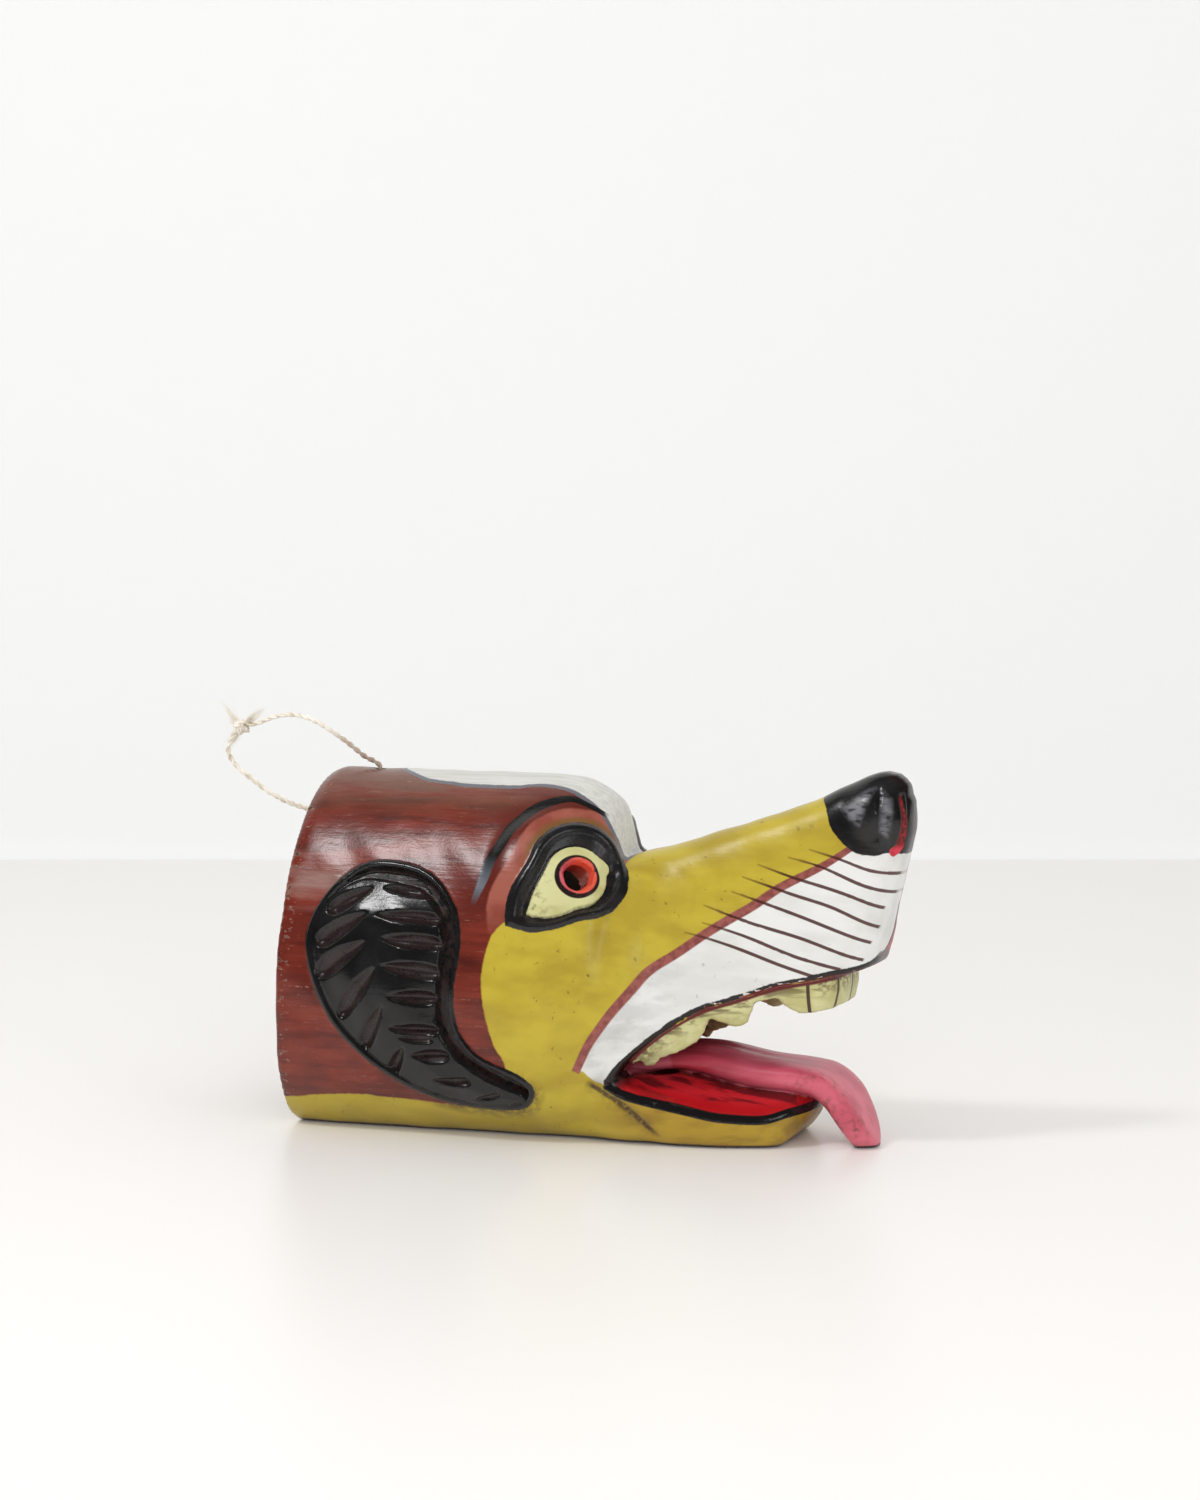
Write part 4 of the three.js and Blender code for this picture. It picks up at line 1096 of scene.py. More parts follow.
paintLines = {
    # brown-red head against the yellow cheek and hem, x and z
    "cheek": [(-153, 14.5), (-114, 19), (-80, 18), (-63, 17), (-45, 18), (-30, 27), (-31, 41), (-35, 48),
              (-39, 60), (-41, 71), (-42, 80), (-40, 93), (-37, 102), (-30, 108), (-15, 112), (5, 118),
              (12.5, 130), (11.5, 142), (10, 155)],
    "nose": [(107.7, 165), (111.5, 159), (114, 152.6), (118.5, 147), (123, 143), (128.7, 140.6), (135, 140),
             (140, 141), (147, 140), (156, 139)],
    # band between the yellow and the white of the muzzle
    "band": [(126, 144.5), (124, 143), (113, 135.5), (101, 129), (90, 123), (79, 115), (67.5, 108),
             (56, 100.6), (44.5, 92), (33, 84), (26, 75), (17, 63), (9.5, 51.6), (5, 42.5), (2, 36)],
    "whiteEnd": [(5.4, 37.5), (9.5, 32), (16.4, 28.5), (23, 25)],
    "upperLip": [(14.4, 29.4), (17.3, 32.4), (22, 39), (30, 47), (38, 54), (49, 62), (60, 67), (72, 71),
                 (83, 75), (94, 78.6), (105, 81), (116, 83), (127, 85.5), (135, 88), (138, 91.5)],
    "lowerLip": [(14.2, 30.2), (17.3, 29), (22.7, 26), (32.6, 23), (43.5, 20.5), (54, 18.3), (65, 16),
                 (77, 15), (87, 15), (96, 17.5), (105, 19)],
    # pale blaze along the crown, x and distance from the middle
    "blaze": [(-111, 0), (-108, 4), (-102, 8.5), (-90, 14.5), (-70, 17.2), (-49, 17.5), (-32, 15.4),
              (-21, 15.3), (-11.5, 16.8), (-2, 17.7), (4, 18.6), (8.5, 17.8), (11.2, 13.5), (12.3, 8), (12.6, 0)],
    # black brow stroke, in the eye's plane
    "brow": [(-47.5, -8.5), (-45.6, -4), (-42.2, 3.1), (-38.4, 11.8), (-32.9, 19.6), (-28, 26.5), (-22.1, 32),
             (-11.9, 38.6), (2.4, 41.5), (11.8, 37), (20.5, 31.3)],
    "crease": [(6, 31), (14, 26), (22, 21), (30.3, 13.2), (37, 5)],
    "toothGap": [(106, 84), (107, 60)],
}
whiskerLines = [
    [(104, 142), (119, 138), (133, 133), (145, 131)], [(94, 138), (111, 134), (130, 126), (143, 122)],
    [(79, 134), (99, 128), (122, 122), (139, 115)], [(72, 128), (96, 121), (118, 115), (137, 106)],
    [(67, 121), (91, 114), (116, 106), (134, 99)], [(54, 114), (73, 108), (105, 100), (131, 91)],
    [(54, 106), (74, 101), (101, 92), (122, 87)], [(46.5, 101.5), (68.5, 96), (92, 88.5), (111, 83)],
]
# right and left end over the height of the red down the front of the muzzle, which lies more to the left
stripRight = [(82, -22), (86, -18), (90, -10), (94, -2), (98, 2.5), (106, 5), (114, 6.5),
              (120, 7.5), (146, 7)]
stripLeft = [(82, 22), (90, 18), (98, 16), (120, 14), (146, 12)]
# half width over the height of the red in the nostril's slit
slitHalf = [(139, 2.0), (143, 2.5), (150, 2.3), (157, 2.0), (162, 1.4), (167, 0.7)]
noseHighlightFacets = [     # where the black nose gets a painted grey highlight, with some rubbing, left and right of the crease
    [(118, 161.5), (127, 168.5), (134.5, 172), (131.5, 163), (128.5, 153), (123, 156)],
    [(137.2, 170.5), (142, 166), (143, 159), (141, 148), (137.5, 151), (137.8, 160)],
]
whiskerRun = 20.0  # each whisker's line is carried on this far past its ends
whiskerRoom = 6.0  # reach of the highest and the lowest whisker outwards
lipLook = {        # the black lines on the lips, in millimetres from the lip's edge
    "above": 1.9,            # over the upper lip's edge, more at the mouth's corner and at the front teeth
    "cornerMore": 0.7,
    "frontMore": 0.9,
    "below": 0.8,            # under it, again more at the corner
    "belowMore": 1.6,
    "jaw": (2.6, 1.5),       # under and over the lower lip's edge
    "jawInside": 5.0,        # how far inside the half widths of the jaw and the lip the mouth begins
    "lipInside": 4.5,
}
strokeHalf = {     # half widths of the strokes in millimetres at distances along them
    "band": [(0, 1.5), (60, 2.2), (120, 2.2), (170, 1.8), (200, 1.8)],
    "brow": [(0, 1.1), (9, 1.7), (18, 2.25), (62, 2.25), (92, 1.35), (110, 1.35)],
    "crease": [(0, 0.9), (20, 1.4), (45, 0.7)],
}


def paintEdges(points, normals, marks):
    x, side, z = points[:, 0], np.abs(points[:, 1]), points[:, 2]
    edges = dict(marks)
    corners = [(30, 200), (-170, 200), (-170, 14.5)]
    cheek = np.vstack([smoothLine(paintLines["cheek"], per=4), corners])
    edges["headEdge"] = lineDistance(x, z, cheek, True)[0]
    nose = np.vstack([smoothLine(paintLines["nose"], per=4), [(170, 150), (170, 210), (90, 210), (103, 174)]])
    edges["noseEdge"] = lineDistance(x, z, nose, True)[0]
    for name, along, up in (("band", x, z), ("crease", x, z), ("brow", edges["eyeSide"], edges["eyeUp"])):
        line = smoothLine(paintLines[name], per=5)
        away, run = lineDistance(along, up, line)
        edges[name + "Across"], edges[name + "Run"] = away / through(strokeHalf[name], run), run
        edges[name + "Left"] = np.linalg.norm(np.diff(line, axis=0), axis=1).sum() - run
    edges["creaseAcross"] = np.where(side > 25, edges["creaseAcross"], 30)
    edges["browAcross"] = np.where((edges["boreDeep"] < 40) & (normals[:, 2] > 0), edges["browAcross"], 30)
    white = np.vstack([smoothLine(paintLines["band"], per=5)[:-1], paintLines["whiteEnd"],
                       paintLines["upperLip"][1:], [(146, 92), (170, 95), (170, 146)]])
    edges["whiteEdge"] = lineDistance(x, z, white, True)[0]
    # the lips' black line keeps to the outside, and stops where the underside begins
    lip, run = lineDistance(x, z, smoothLine(paintLines["upperLip"], per=5))
    look = lipLook
    wide = (look["above"] + look["cornerMore"] * ease(1 - run / 30)
            + look["frontMore"] * ease((run - 105) / 15))
    facesDown = ease((-normals[:, 2] - 0.55) / 0.3) * ease((run - 10) / 10)
    lowEnd = look["below"] + look["belowMore"] * ease(1 - run / 25)
    edges["lipEdge"] = np.maximum(np.maximum(lip - wide, -lip - lowEnd) + 3 * facesDown, 0.3 - run)
    jaw, run = lineDistance(x, z, smoothLine(paintLines["lowerLip"], per=5))
    mouthHalf = np.minimum(through(jawWidth, x) - look["jawInside"], through(lipWidth, x) - look["lipInside"])
    inwards = mouthHalf - side
    under, over = look["jaw"]
    edges["jawOut"] = np.maximum(np.maximum(np.maximum(-jaw - under, jaw - over), 0.3 - run), inwards)
    blaze = np.vstack([smoothLine(paintLines["blaze"], per=4), [(16, -40), (-118, -40)]])
    edges["blazeEdge"] = np.where(z > 118, lineDistance(x, side, blaze, True)[0], 30)
    away, spans, runs = [], [], []
    for line in whiskerLines:
        line = np.array(line, float)
        first, last = line[0] - line[1], line[-1] - line[-2]
        longer = [line[0] + first / np.linalg.norm(first) * whiskerRun, *smoothLine(line, per=4),
                  line[-1] + last / np.linalg.norm(last) * whiskerRun]
        length = np.linalg.norm(np.diff(np.array(longer), axis=0), axis=1).sum()
        distance, run = lineDistance(x, z, longer)
        away.append(distance)
        spans.append(np.minimum(run - whiskerRun, length - whiskerRun - run))
        runs.append(run - whiskerRun)
    away = np.array(away)
    nearest = np.abs(away).argmin(0)
    every = np.arange(len(x))
    # a running number, whole on each whisker, stays straight between them on coarse faces
    count = (away < 0).sum(0)
    over, under = -away[np.maximum(count - 1, 0), every], away[np.minimum(count, len(away) - 1), every]
    between = (count > 0) & (count < len(away))
    room = np.where(between, over + under, whiskerRoom)
    edges["whiskerRoom"] = room
    number = count - 1 + over / np.maximum(room, 0.1)
    edges["whiskerNumber"] = np.where(count == 0, -under / whiskerRoom, number)
    edges["whiskerSpan"] = np.where(normals[:, 2] > -0.8, np.array(spans)[nearest, every], -9)
    edges["whiskerRun"] = np.array(runs)[nearest, every]
    edges["toothGap"] = lineDistance(x, z, paintLines["toothGap"])[0]
    tooth, tongue, body = (sampled(fields[name], points) for name in ("tooth", "tongue", "body"))
    edges["toothEdge"] = tooth - np.minimum(body, tongue)
    edges["tongueEdge"] = tongue - np.minimum(body, tooth)
    edges["gumDrop"] = through(upperLip, x) - z
    edges["bankUp"] = z - through(lowerLip, x)
    below, above = through(lowerLip, x) - z, z - through(upperLip, x)
    under = np.maximum(3 * (normals[:, 2] + 0.62), np.maximum(above - 1.2, below + 3))
    floor = np.maximum(np.maximum(below + 0.3, above + 1), x - 106)
    deep = np.maximum(sampled(fields["mouth"], points) - 0.7, below + 0.3)
    # well inside the lips all is mouth, whatever the height, and it runs in under the black lines
    inner = np.maximum(np.maximum(-inwards - 1.5, x - 106), np.maximum(below - 3, above - 9))
    edges["mouthEdge"] = np.maximum(np.minimum(np.minimum(under, inner), np.minimum(floor, deep)), 15.5 - x)
    facets = [lineDistance(x, z, outline, True)[0] for outline in noseHighlightFacets]
    edges["facetEdge"] = np.minimum(*facets)
    edges["slitEdge"] = edges["slitAway"] - through(slitHalf, z)
    edges["stripEdge"] = np.where(x > 126, np.maximum(through(stripRight, z) - points[:, 1],
                                                      points[:, 1] - through(stripLeft, z)), 30)
    edges["bareEdge"] = np.minimum(sampled(fields["hollow"], points) - 0.8, 150.6 + x)
    # how convex and how hollow the surface is: worn paint goes on the ridges, painted shade in the hollows
    deep = 2.5
    edges["ridge"] = deep + sampled(fields["solid"], points - normals * deep)
    edges["hollowed"] = deep - sampled(fields["solid"], points + normals * deep)
    return edges


for name, values in paintEdges(points, normals, marks).items():
    attribute = maskMesh.attributes.new(name, "FLOAT", "POINT")
    attribute.data.foreach_set("value", np.clip(values, -200, 300).astype(np.float32))
print("paint lines laid out")


# Paint on the mask: hand-brushed satin enamel on carved softwood. Thin coats let the tool marks show,
# they shine in long soft streaks, and each colour ends in an uneven brushed edge

enamelPatterns = {  # size of the features along x, y and z in millimetres, and how much detail they have
    "streak": ((34, 2.2, 2.2), 3), "smear": ((46, 7, 7), 4), "blotch": ((16, 16, 16), 4),
    "patch": ((38, 14, 14), 3), "speck": ((1.1, 1.1, 1.1), 2), "fleck": ((3.2, 3.2, 3.2), 3),
    "hand": ((9, 9, 9), 2), "fine": ((1.7, 1.7, 1.7), 2), "grain": ((40, 0.5, 0.5), 2),
    "wrinkle": ((5, 5, 2.2), 3),
}


def coat(name, tint, **rest):
    return {"name": name, "tint": tint, **rest}


# a coat laid earlier is a source too
brown, white, mouth, ball = ("brown", 0, 1), ("white", 0, 1), ("mouth", 0, 1), ("ball", 0, 1)
tooth, tongue, wood = ("tooth", 0, 1), ("tongue", 0, 1), ("wood", 0, 1)
# from the bottom up; each lies where all its ranges allow, given as the source, its 0 and its 1
enamelCoats = [
    coat("yellow", "#c2ad32", second="#b19a2a", by=("patch", 0.4, 0.62), rough=0.34),
    coat("yellowHaze", "#a68c22", where=[("blotch", 0.5, 0.66)], cover=0.35),
    # darker yellow low on the cheek behind the jaw: painted shade
    coat("lowCheekShade", "#9a8424", where=[("z", 24, 8), ("x", 10, -20)], cover=0.55),
    coat("jaw", "#ac8a24", second="#8f6c1c", by=("smear", 0.45, 0.62),
         where=[("x", 4, 34), ("z", 30, 22)], cover=0.8),
    coat("chin", "#5e4a1c", where=[("x", 92, 104), ("z", 24, 12), ("blotch", 0.3, 0.55)], cover=0.75),
    coat("yellowSpecks", "#4e3c18", where=[("fleck", 0.67, 0.70), ("blotch", 0.45, 0.55)], cover=0.55),
    # brown under the ear's lower edge, broken into patches: painted shade
    coat("underEarShade", "#4a2f1a", where=[("earEdge", 5.5, 0.5), ("z", 34, 24), ("fleck", 0.3, 0.55)],
         cover=0.75),
    coat("brown", "#7c2d1f", second="#69251a", by=("patch", 0.38, 0.62),
         where=[("headEdge", 0.4, -0.4)], rough=0.27),
    coat("brownWarm", "#8f3d2b", where=[brown, ("smear", 0.52, 0.4), ("z", 100, 60)], cover=0.4),
    coat("brownStreak", "#561c13", where=[brown, ("streak", 0.5, 0.72)], cover=0.5),
    coat("brownSmear", "#431610", where=[brown, ("smear", 0.5, 0.66)], cover=0.65),
    # darker brown in blotches low on the head: painted shade
    coat("brownLowShade", "#4a1c14", where=[brown, ("z", 70, 20), ("blotch", 0.35, 0.6)], cover=0.55),
    # lighter, greyer brown over the top of the head: painted light
    coat("crown", "#74503f", where=[brown, ("z", 150, 165), ("smear", 0.3, 0.5)], cover=0.75),
    coat("brownScratch", "#b58a74", where=[brown, ("grain", 0.66, 0.70), ("fleck", 0.5, 0.56)],
         cover=0.4),
    # a whitish patch on the brown at the back of the head: painted sheen
    coat("paintedSheen", "#c4a095", where=[brown, ("x", -112, -128), ("z", 106, 113), ("z", 136, 129),
                                       ("smear", 0.4, 0.66)], cover=0.42),
    coat("underBrow", "#5e1d15", where=[brown, ("ringEdge", 24, 15), ("eyeUp", -18, -4)], cover=0.8),
    coat("browBand", "#a55e4f", second="#93493b", by=("blotch", 0.4, 0.6),
         where=[brown, ("ringEdge", 8.6, 7.4), ("eyeUp", -26, -12)], cover=0.92),
    coat("halo", "#6e5a28", where=[brown, ("ringEdge", 4.2, 1.2), ("eyeUp", 6, 16)], cover=0.7),
    coat("blazeOutline", "#66666e", where=[("blazeEdge", 2.8, 2.3)], rough=0.3),
    coat("blaze", "#d6d5cf", second="#c8c7c0", by=("streak", 0.4, 0.62),
         where=[("blazeEdge", 0.25, -0.25)], rough=0.4),
    coat("browStroke", "#181716", where=[("browAcross", -1.12, -0.94), ("browAcross", 1.12, 0.94),
                                         ("browRun", 0.2, 10), ("browLeft", 0.2, 3)], rough=0.24),
    coat("browFaint", "#6f747c", where=[("browStroke", 0, 1), ("browRun", 26, 10)], cover=0.9),
    coat("white", "#e6e6e3", second="#dadad6", by=("patch", 0.42, 0.62),
         where=[("whiteEdge", 0.3, -0.3)], rough=0.33),
    coat("whiteSmear", "#b4b4b1", where=[white, ("x", 66, 20), ("smear", 0.44, 0.6)], cover=0.5),
    coat("whiteDirt", "#8f8272", where=[white, ("fleck", 0.66, 0.72), ("patch", 0.5, 0.6)],
         cover=0.4),
    coat("band", "#9d5850", second="#85443f", by=("fleck", 0.4, 0.6),
         where=[("bandAcross", -1.15, -0.85), ("bandAcross", 1.15, 0.85), ("bandLeft", 0.2, 1)], rough=0.36),
    coat("whiskers", "#4a1f1a", where=[("whiskerOut", 0.16, -0.16), ("whiskerSpan", -0.2, 0.5),
                                       ("whiskerNumber", -0.4, -0.3), ("whiskerNumber", 7.4, 7.3),
                                       ("whiskerRun", -8, 14)],
         cover=0.94),
    coat("stripLine", "#3c1713", where=[("stripEdge", 2.8, 2.2)]),
    coat("strip", "#b4101c", second="#8a0e16", by=("fleck", 0.42, 0.6),
         where=[("stripEdge", 0.2, -0.3)], rough=0.3),
    # darker yellow on either side of the crease, in patches
    coat("creaseBorder", "#7d6420", where=[("creaseAcross", -5, -1), ("creaseAcross", 5, 1),
                                         ("creaseLeft", 0.2, 5), ("creaseRun", 0.2, 3),
                                         ("fleck", 0.3, 0.6)], cover=0.6),
    coat("crease", "#47321a", where=[("creaseAcross", -1.5, -0.6), ("creaseAcross", 1.5, 0.6),
                                     ("creaseLeft", 0.2, 5), ("creaseRun", 0.2, 3),
                                     ("fine", 0.25, 0.45)], cover=0.9),
    coat("nose", "#191818", second="#262526", by=("blotch", 0.45, 0.65),
         where=[("noseEdge", 0.25, -0.25)], rough=0.24),
    # grey on the nose's facets: painted highlight, with some rubbed-off black
    coat("noseRubAndHighlight", "#85858b", where=[("nose", 0, 1), ("facetEdge", 0.8, -2.6),
                                         ("wrinkle", 0.3, 0.56)], cover=0.8, rough=0.36),
    coat("slit", "#4e1210", second="#96181c", by=("fine", 0.42, 0.58),
         where=[("slitEdge", 0.25, -0.25)], rough=0.45),
    coat("slitEnd", "#d23a48", where=[("slit", 0, 1), ("z", 145, 142.5)], rough=0.3),
    coat("ear", "#171616", second="#201f20", by=("blotch", 0.45, 0.65),
         where=[("earEdge", 0.25, -0.25)], rough=0.22),
    coat("gougeRub", "#352422", where=[("gougeDeep", 0.5, 1.5), ("speck", 0.3, 0.5)], cover=0.65,
         rough=0.42),
    coat("channelRub", "#35201a", where=[("channelDeep", 1.2, 3.0), ("fleck", 0.4, 0.58)], cover=0.7,
         rough=0.5),
    coat("ring", "#1b1a1b", second="#252426", by=("blotch", 0.45, 0.65),
         where=[("ringEdge", 0.25, -0.25)], rough=0.26),
    coat("ringRub", "#352624", where=[("ring", 0, 1), ("ballEdge", 5, 1), ("smear", 0.45, 0.6)],
         cover=0.6, rough=0.5),
    coat("ball", "#d0cd94", second="#c0bb7e", by=("patch", 0.45, 0.62),
         where=[("ballEdge", 0.3, -0.2)], rough=0.4),
    coat("ballRim", "#8c8660", where=[ball, ("ballEdge", -1.1, -0.1), ("fine", 0.42, 0.56)],
         cover=0.6),
    coat("ballDirt", "#5a553e", where=[ball, ("eyeSide", -10, -22), ("fleck", 0.52, 0.62)],
         cover=0.6),
    coat("irisLine", "#241212", where=[("irisAway", 11.0, 10.6), ("ball", 0, 1)]),
    coat("iris", "#e2573f", second="#dc6470", by=("eyeSide", 2, -8),
         where=[("pupilAway", 9.5, 9.1)], rough=0.3),
    # the pupil's bore: red paint, darkened to painted shade towards its back wall
    coat("bore", "#360d10", second="#9c1b20", by=("eyeSide", 0.5, 3.5),
         where=[("pupilAway", 7.1, 6.6), ("boreDeep", 1.0, 2.2)], rough=0.6),
    coat("mouth", "#b2121b", second="#9a0e17", by=("smear", 0.42, 0.6),
         where=[("mouthEdge", 0.25, -0.25)], rough=0.28),
    coat("bankTop", "#c4242c", where=[mouth, ("bankUp", 3.5, 6.5)], cover=0.8),
    coat("bankDirt", "#4a1014", where=[mouth, ("bankUp", 2, 5), ("smear", 0.5, 0.58)],
         cover=0.8),
    coat("gum", "#5c1418", where=[mouth, ("gumDrop", 13, 6)], cover=0.9, rough=0.45),
    coat("upperLine", "#1c1716", where=[("lipEdge", 0.2, -0.2), ("x", 139, 135)], rough=0.28),
    coat("lowerLine", "#191717", where=[("jawOut", 0.2, -0.2)], rough=0.2),
    coat("tooth", "#d2cf98", second="#bfba7e", by=("blotch", 0.42, 0.6),
         where=[("toothEdge", 0.2, -0.2)], rough=0.42),
    coat("toothHatch", "#59451f", where=[tooth, ("gumDrop", 11, 3), ("streak", 0.46, 0.58)],
         cover=0.75),
    # the back teeth darker towards the mouth's corner, in flecks: painted shade
    coat("backToothShade", "#3a2a16", where=[tooth, ("x", 44, 26), ("fleck", 0.36, 0.5)], cover=0.7),
    coat("toothLine", "#38231a", where=[tooth, ("toothGap", -1.0, -0.7), ("toothGap", 1.0, 0.7)],
         cover=0.95),
    coat("toothLineTwo", "#38231a", where=[tooth, ("side", 16.6, 16.9), ("side", 18.6, 18.3),
                                           ("x", 110, 112)], cover=0.95),
    coat("toothLineThree", "#38231a", where=[tooth, ("side", 1.2, 0.8), ("x", 113, 115)], cover=0.95),
    coat("toothRoot", "#651519", where=[tooth, ("gumDrop", 2.6, 1.9)]),
    coat("tongue", "#da6b7c", second="#c9566a", by=("patch", 0.4, 0.6),
         where=[("tongueEdge", 0.2, -0.2)], rough=0.36),
    # the tongue darker towards the back of the mouth: painted shade, in smeared streaks
    coat("tongueBackShade", "#8a2c36", where=[tongue, ("x", 92, 30), ("smear", 0.42, 0.56)],
         cover=0.75),
    coat("tongueRed", "#a81a28", where=[tongue, ("x", 74, 46), ("blotch", 0.5, 0.6)],
         cover=0.6),
    coat("tongueDirt", "#6b3f2a", where=[tongue, ("x", 92, 100), ("side", 11, 18),
                                         ("fleck", 0.46, 0.64), ("blotch", 0.35, 0.55)], cover=0.7),
    coat("tongueChip", "#e8e4dc", where=[tongue, ("fleck", 0.74, 0.76), ("x", 118, 122)]),
    # darker in creases and hollows, broken up in blotches: painted shade
    coat("creviceShade", "#3a2018", where=[("hollowed", 0.5, 1.8), ("blotch", 0.3, 0.6), ("lowerLine", 1, 0)],
         cover=0.45),
    coat("worn", "#c2a884", where=[("ridge", 0.6, 1.3), ("speck", 0.56, 0.64), ("fleck", 0.5, 0.6),
                                   ("upperLine", 1, 0), ("lowerLine", 1, 0)], cover=0.35),
    coat("chipEdge", "#b49a8c", where=[brown, ("x", -142, -147), ("wrinkle", 0.6, 0.615)], cover=0.8),
    coat("chip", "#552a1e", where=[brown, ("x", -142, -147), ("wrinkle", 0.62, 0.63)], rough=0.7),
    coat("rimChipEdge", "#c0a596", where=[brown, ("x", -137, -142), ("z", 96, 102), ("z", 124, 118),
                                          ("chip", 0.5, 0.52)], cover=0.85),
    coat("rimChip", "#5c2c20", where=[("rimChipEdge", 0, 0.85), ("chip", 0.53, 0.54)], rough=0.7),
    # darker brown round the twine's hole on the top, in patches
    coat("holeDarker", "#4a1a14", where=[("holeAway", 9, 3.5), ("z", 150, 160), ("fleck", 0.3, 0.55)],
         cover=0.8),
    coat("baseLine", "#3a1815", where=[("z", 1.9, 1.3)], cover=0.9),
    coat("wood", "#b58a5a", second="#8f6640", by=("grain", 0.35, 0.65),
         where=[("bareEdge", 0.5, -0.5)], rough=0.72),
    coat("woodHandling", "#5e3c26", where=[wood, ("blotch", 0.42, 0.62)], cover=0.5),
    # the bare wood darker further into the hollow: painted shade
    coat("hollowShade", "#2a100d", where=[wood, ("x", -95, -50)], cover=0.94),
    coat("underside", "#6e5230", second="#4c3420", by=("blotch", 0.4, 0.6), where=[("z", 0.7, 0.3)],
         cover=0.8, rough=0.7),
]
# how far each pattern stands up
bumpMm = {"streak": 0.07, "blotch": 0.18, "wrinkle": 0.06, "fleck": 0.04, "speck": 0.03, "grain": 0.02}


def layCoats(tree, sources, coats):
    # paints the coats over each other, and gives the colour and roughness that are left on top
    colour, rough = (0.0, 0.0, 0.0, 1.0), 0.35
    for coat in coats:
        cover = coat.get("cover", 1.0)
        for name, low, high in coat.get("where", ()):
            ramp = addNode(tree, "ShaderNodeMapRange",
                           {"Value": sources[name], "From Min": low, "From Max": high})
            cover = addNode(tree, "ShaderNodeMath", {0: ramp.outputs[0], 1: cover},
                            operation="MULTIPLY").outputs[0]
        tint = paintColour(coat["tint"])
        if "second" in coat:
            name, low, high = coat["by"]
            ramp = addNode(tree, "ShaderNodeMapRange",
                           {"Value": sources[name], "From Min": low, "From Max": high})
            second = paintColour(coat["second"])
            tint = addNode(tree, "ShaderNodeMix", {0: ramp.outputs[0], 6: tint, 7: second},
                           data_type="RGBA").outputs[2]
        colour = addNode(tree, "ShaderNodeMix", {0: cover, 6: colour, 7: tint}, data_type="RGBA").outputs[2]
        if "rough" in coat:
            rough = addNode(tree, "ShaderNodeMix", {0: cover, 2: rough, 3: coat["rough"]},
                            data_type="FLOAT").outputs[0]
        sources[coat["name"]] = cover
    return colour, rough


def enamelMaterial(names):
    material, tree = newMaterial("brushedEnamelOnSoftwood")
    place = addNode(tree, "ShaderNodeTexCoord").outputs["Object"]
    inMm = addNode(tree, "ShaderNodeMapping", {"Vector": place, "Scale": (1000, 1000, 1000)}).outputs[0]
    axes = addNode(tree, "ShaderNodeSeparateXYZ", {"Vector": inMm}).outputs
    sources = {"x": axes["X"], "z": axes["Z"]}
    sources["side"] = addNode(tree, "ShaderNodeMath", {0: axes["Y"]}, operation="ABSOLUTE").outputs[0]
    for number, (name, (size, detail)) in enumerate(enamelPatterns.items()):
        spread = addNode(tree, "ShaderNodeMapping", {"Vector": inMm, "Location": (30 * number, 10, 20),
                                                     "Scale": tuple(1 / s for s in size)})
        noise = addNode(tree, "ShaderNodeTexNoise",
                        {"Vector": spread.outputs[0], "Scale": 1.0, "Detail": detail})
        sources[name] = noise.outputs["Fac"]
    # the brush's hand: every edge wanders by up to about half a millimetre
    slow = addNode(tree, "ShaderNodeMath", {0: sources["hand"], 1: 1.8, 2: -1.35}, operation="MULTIPLY_ADD")
    quick = addNode(tree, "ShaderNodeMath", {0: sources["fine"], 1: 0.9, 2: slow.outputs[0]},
                    operation="MULTIPLY_ADD")
    for name in names:
        value = addNode(tree, "ShaderNodeAttribute", attribute_name=name).outputs["Fac"]
        if name.endswith("Edge"):
            value = addNode(tree, "ShaderNodeMath", {0: quick.outputs[0], 1: 0.8, 2: value},
                            operation="MULTIPLY_ADD").outputs[0]
        sources[name] = value
    # whiskers: millimetres outside the nearest one, which is thinner at its back end
    share = addNode(tree, "ShaderNodeMath", {0: sources["whiskerNumber"], 1: 0.5}, operation="PINGPONG")
    wide = addNode(tree, "ShaderNodeMapRange", {"Value": sources["whiskerRun"], "From Min": 0, "From Max": 30,
                                                "To Min": 0.42, "To Max": 0.78})
    away = addNode(tree, "ShaderNodeMath", {0: share.outputs[0], 1: sources["whiskerRoom"]},
                   operation="MULTIPLY")
    sources["whiskerOut"] = addNode(tree, "ShaderNodeMath", {0: away.outputs[0], 1: wide.outputs[0]},
                                    operation="SUBTRACT").outputs[0]
    # millimetres from the middle of the iris, and from the twine's hole
    for name, across, up, middle in (("irisAway", "eyeSide", "eyeUp", (0.1, -0.2, 0)),
                                     ("holeAway", "x", "side", (carving["twineHoleX"], 0, 0))):
        place = addNode(tree, "ShaderNodeCombineXYZ", {"X": sources[across], "Y": sources[up]})
        length = addNode(tree, "ShaderNodeVectorMath", {0: place.outputs[0], 1: middle}, operation="DISTANCE")
        sources[name] = length.outputs["Value"]
    colour, rough = layCoats(tree, sources, enamelCoats)
    height = 0.0
    for name, standing in bumpMm.items():
        height = addNode(tree, "ShaderNodeMath", {0: sources[name], 1: standing, 2: height},
                         operation="MULTIPLY_ADD").outputs[0]
    bump = addNode(tree, "ShaderNodeBump", {"Height": height, "Strength": 1.0, "Distance": toMetres})
    shader = addNode(tree, "ShaderNodeBsdfPrincipled", {"Base Color": colour, "Roughness": rough,
                                                        "Normal": bump.outputs[0], "IOR": 1.5})
    addNode(tree, "ShaderNodeOutputMaterial", {"Surface": shader.outputs[0]})
    return material


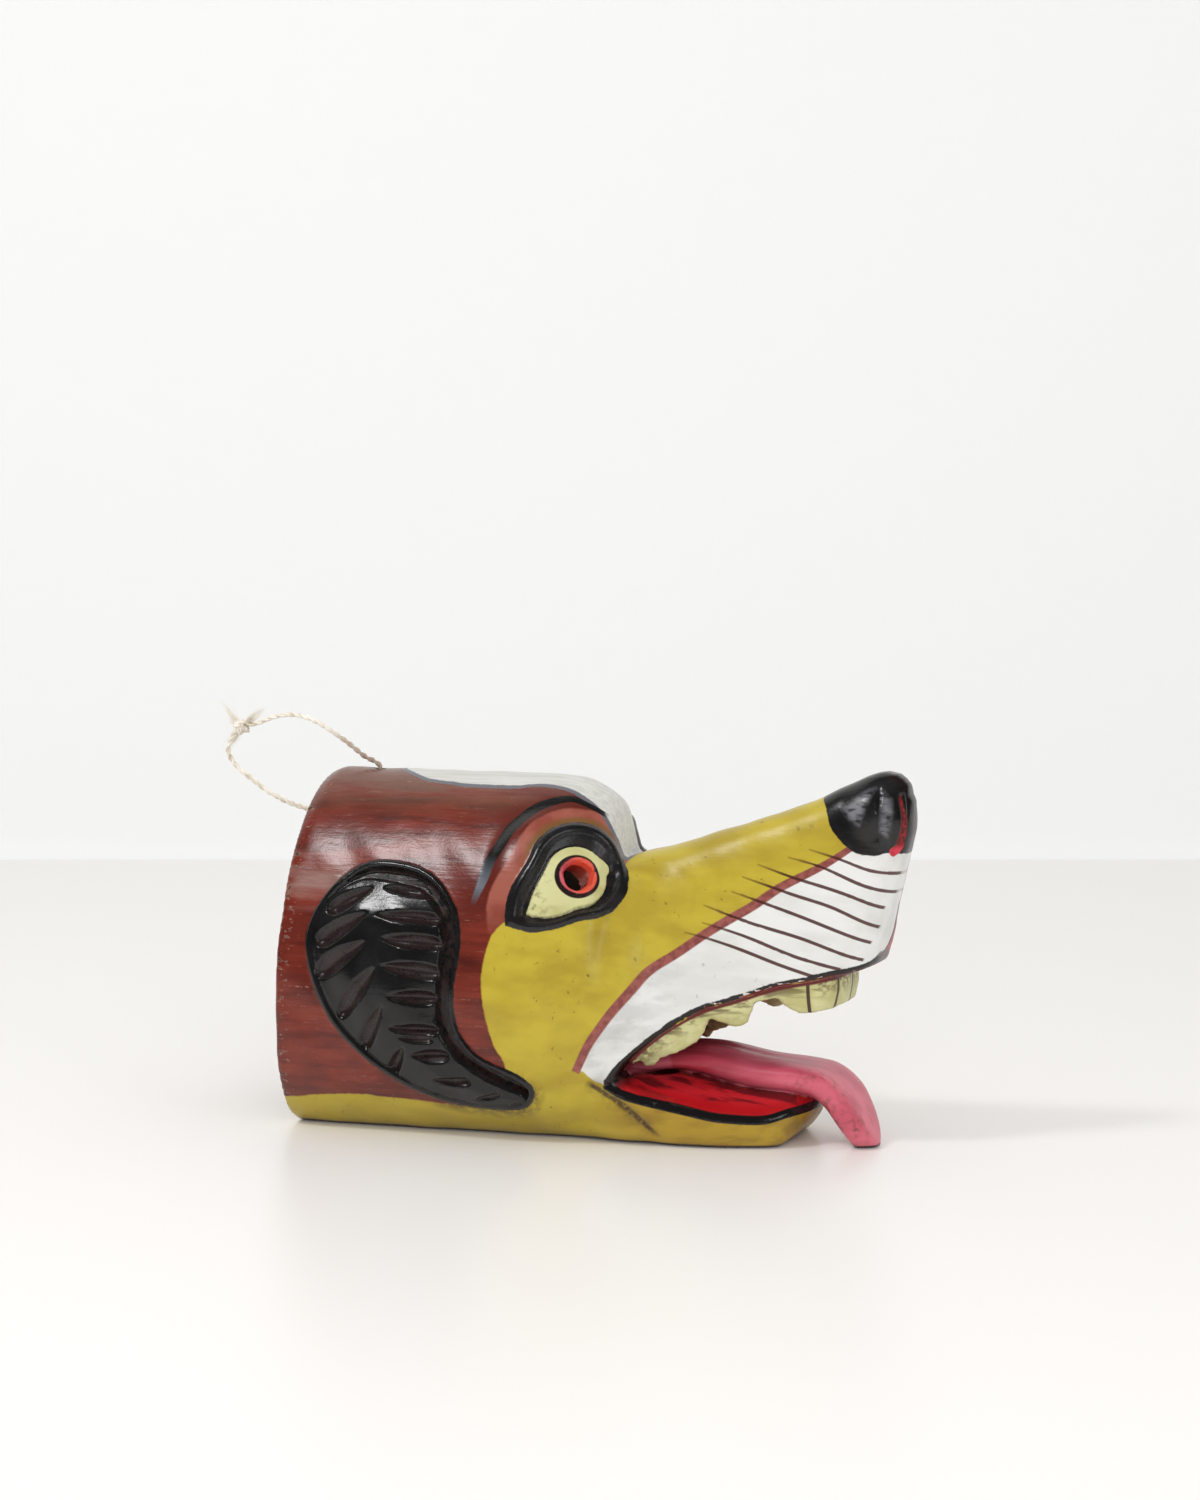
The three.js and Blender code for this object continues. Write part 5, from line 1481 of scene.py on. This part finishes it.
paintNames = [item.name for item in maskMesh.attributes
              if item.data_type == "FLOAT" and item.domain == "POINT"]
maskMesh.materials.append(enamelMaterial(paintNames))
print("mask painted")


# Studio: a pale table that meets a pale wall behind the mask, and soft light

studioLook = {
    "wallAway": 2.576,       # metres from the camera to the wall, level
    "bend": 0.02,
    "halfWidth": 4.0,
    "wallHeight": 4.0,
    "front": 2.5,
    "tableColour": "#f8f5f2",
    "wallColour": "#f1f2f1",
    "wallGlow": 0.12,        # the backdrop is lit from behind a little
    "skyStrength": 0.68,
    "aim": (-0.05, 0.0, 0.1),
    "lamps": [  # name, place, size, power, whether it shines in the gloss
        ("keySoftbox", (-0.70, -0.87, 1.46), 0.26, 7.5, True),
        ("sideSoftbox", (1.5, -0.9, 0.75), 0.5, 2.6, True),
        ("frontFill", (0.9, -2.0, 0.9), 1.2, 13.0, False),
    ],
}


def makeStage(look):
    # one sheet in the camera's own direction: table, a tight bend, and the wall
    turn = math.radians(cameraLook["turn"])
    across = Vector((math.cos(turn), math.sin(turn), 0))
    away = Vector((-math.sin(turn), math.cos(turn), 0))
    eye = Vector(cameraLook["place"])
    base = Vector((eye.x, eye.y, 0))
    bend = look["bend"]
    profile = [(-look["front"], 0), (look["wallAway"] - bend, 0)]
    profile += [(look["wallAway"] - bend + bend * math.sin(a), bend - bend * math.cos(a))
                for a in np.radians(np.linspace(15, 90, 6))]
    profile.append((look["wallAway"], look["wallHeight"]))
    corners = [tuple(base + away * d + across * s * look["halfWidth"] + Vector((0, 0, z)))
               for d, z in profile for s in (-1, 1)]
    quads = [(2 * i, 2 * i + 1, 2 * i + 3, 2 * i + 2) for i in range(len(profile) - 1)]
    mesh = bpy.data.meshes.new("studioSheet")
    mesh.from_pydata(corners, [], quads)
    mesh.polygons.foreach_set("use_smooth", [True] * len(quads))
    sheet = linkObject("studioSheet", mesh)
    for name, colour, rough, glow in (("paleTableLacquer", "tableColour", 0.32, 0.0),
                                      ("paleMattWall", "wallColour", 0.9, look["wallGlow"])):
        material, tree = newMaterial(name)
        tint = paintColour(look[colour])
        shader = addNode(tree, "ShaderNodeBsdfPrincipled",
                         {"Base Color": tint, "Roughness": rough, "Specular IOR Level": 0.35,
                          "Emission Color": tint, "Emission Strength": glow})
        addNode(tree, "ShaderNodeOutputMaterial", {"Surface": shader.outputs[0]})
        mesh.materials.append(material)
    for i, face in enumerate(mesh.polygons):
        face.material_index = 0 if i == 0 else 1


def softLamp(name, place, size, power, shines):
    data = bpy.data.lights.new(name, "AREA")
    data.shape = "SQUARE"
    data.size, data.energy = size, power
    lamp = bpy.data.objects.new(name, data)
    bpy.context.scene.collection.objects.link(lamp)
    lamp.location = place
    lamp.rotation_euler = (Vector(studioLook["aim"]) - Vector(place)).to_track_quat("-Z", "Y").to_euler()
    lamp.visible_glossy = shines


makeStage(studioLook)
world = bpy.data.worlds.new("softRoom")
world.use_nodes = True
world.node_tree.nodes["Background"].inputs["Color"].default_value = (1.0, 1.0, 1.0, 1.0)
world.node_tree.nodes["Background"].inputs["Strength"].default_value = studioLook["skyStrength"]
world.cycles_visibility.glossy = False    # the room lights the mask, and only the lamps shine in its gloss
bpy.context.scene.world = world
bpy.context.scene.view_settings.view_transform = "Standard"
for lamp in studioLook["lamps"]:
    softLamp(*lamp)
print("studio lit")


# Put together

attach(mask, "root")
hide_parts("mask")
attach(twine, "root")
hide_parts("twine_upper", "twine_lower")
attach(knot, "root")
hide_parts("twine_knot")
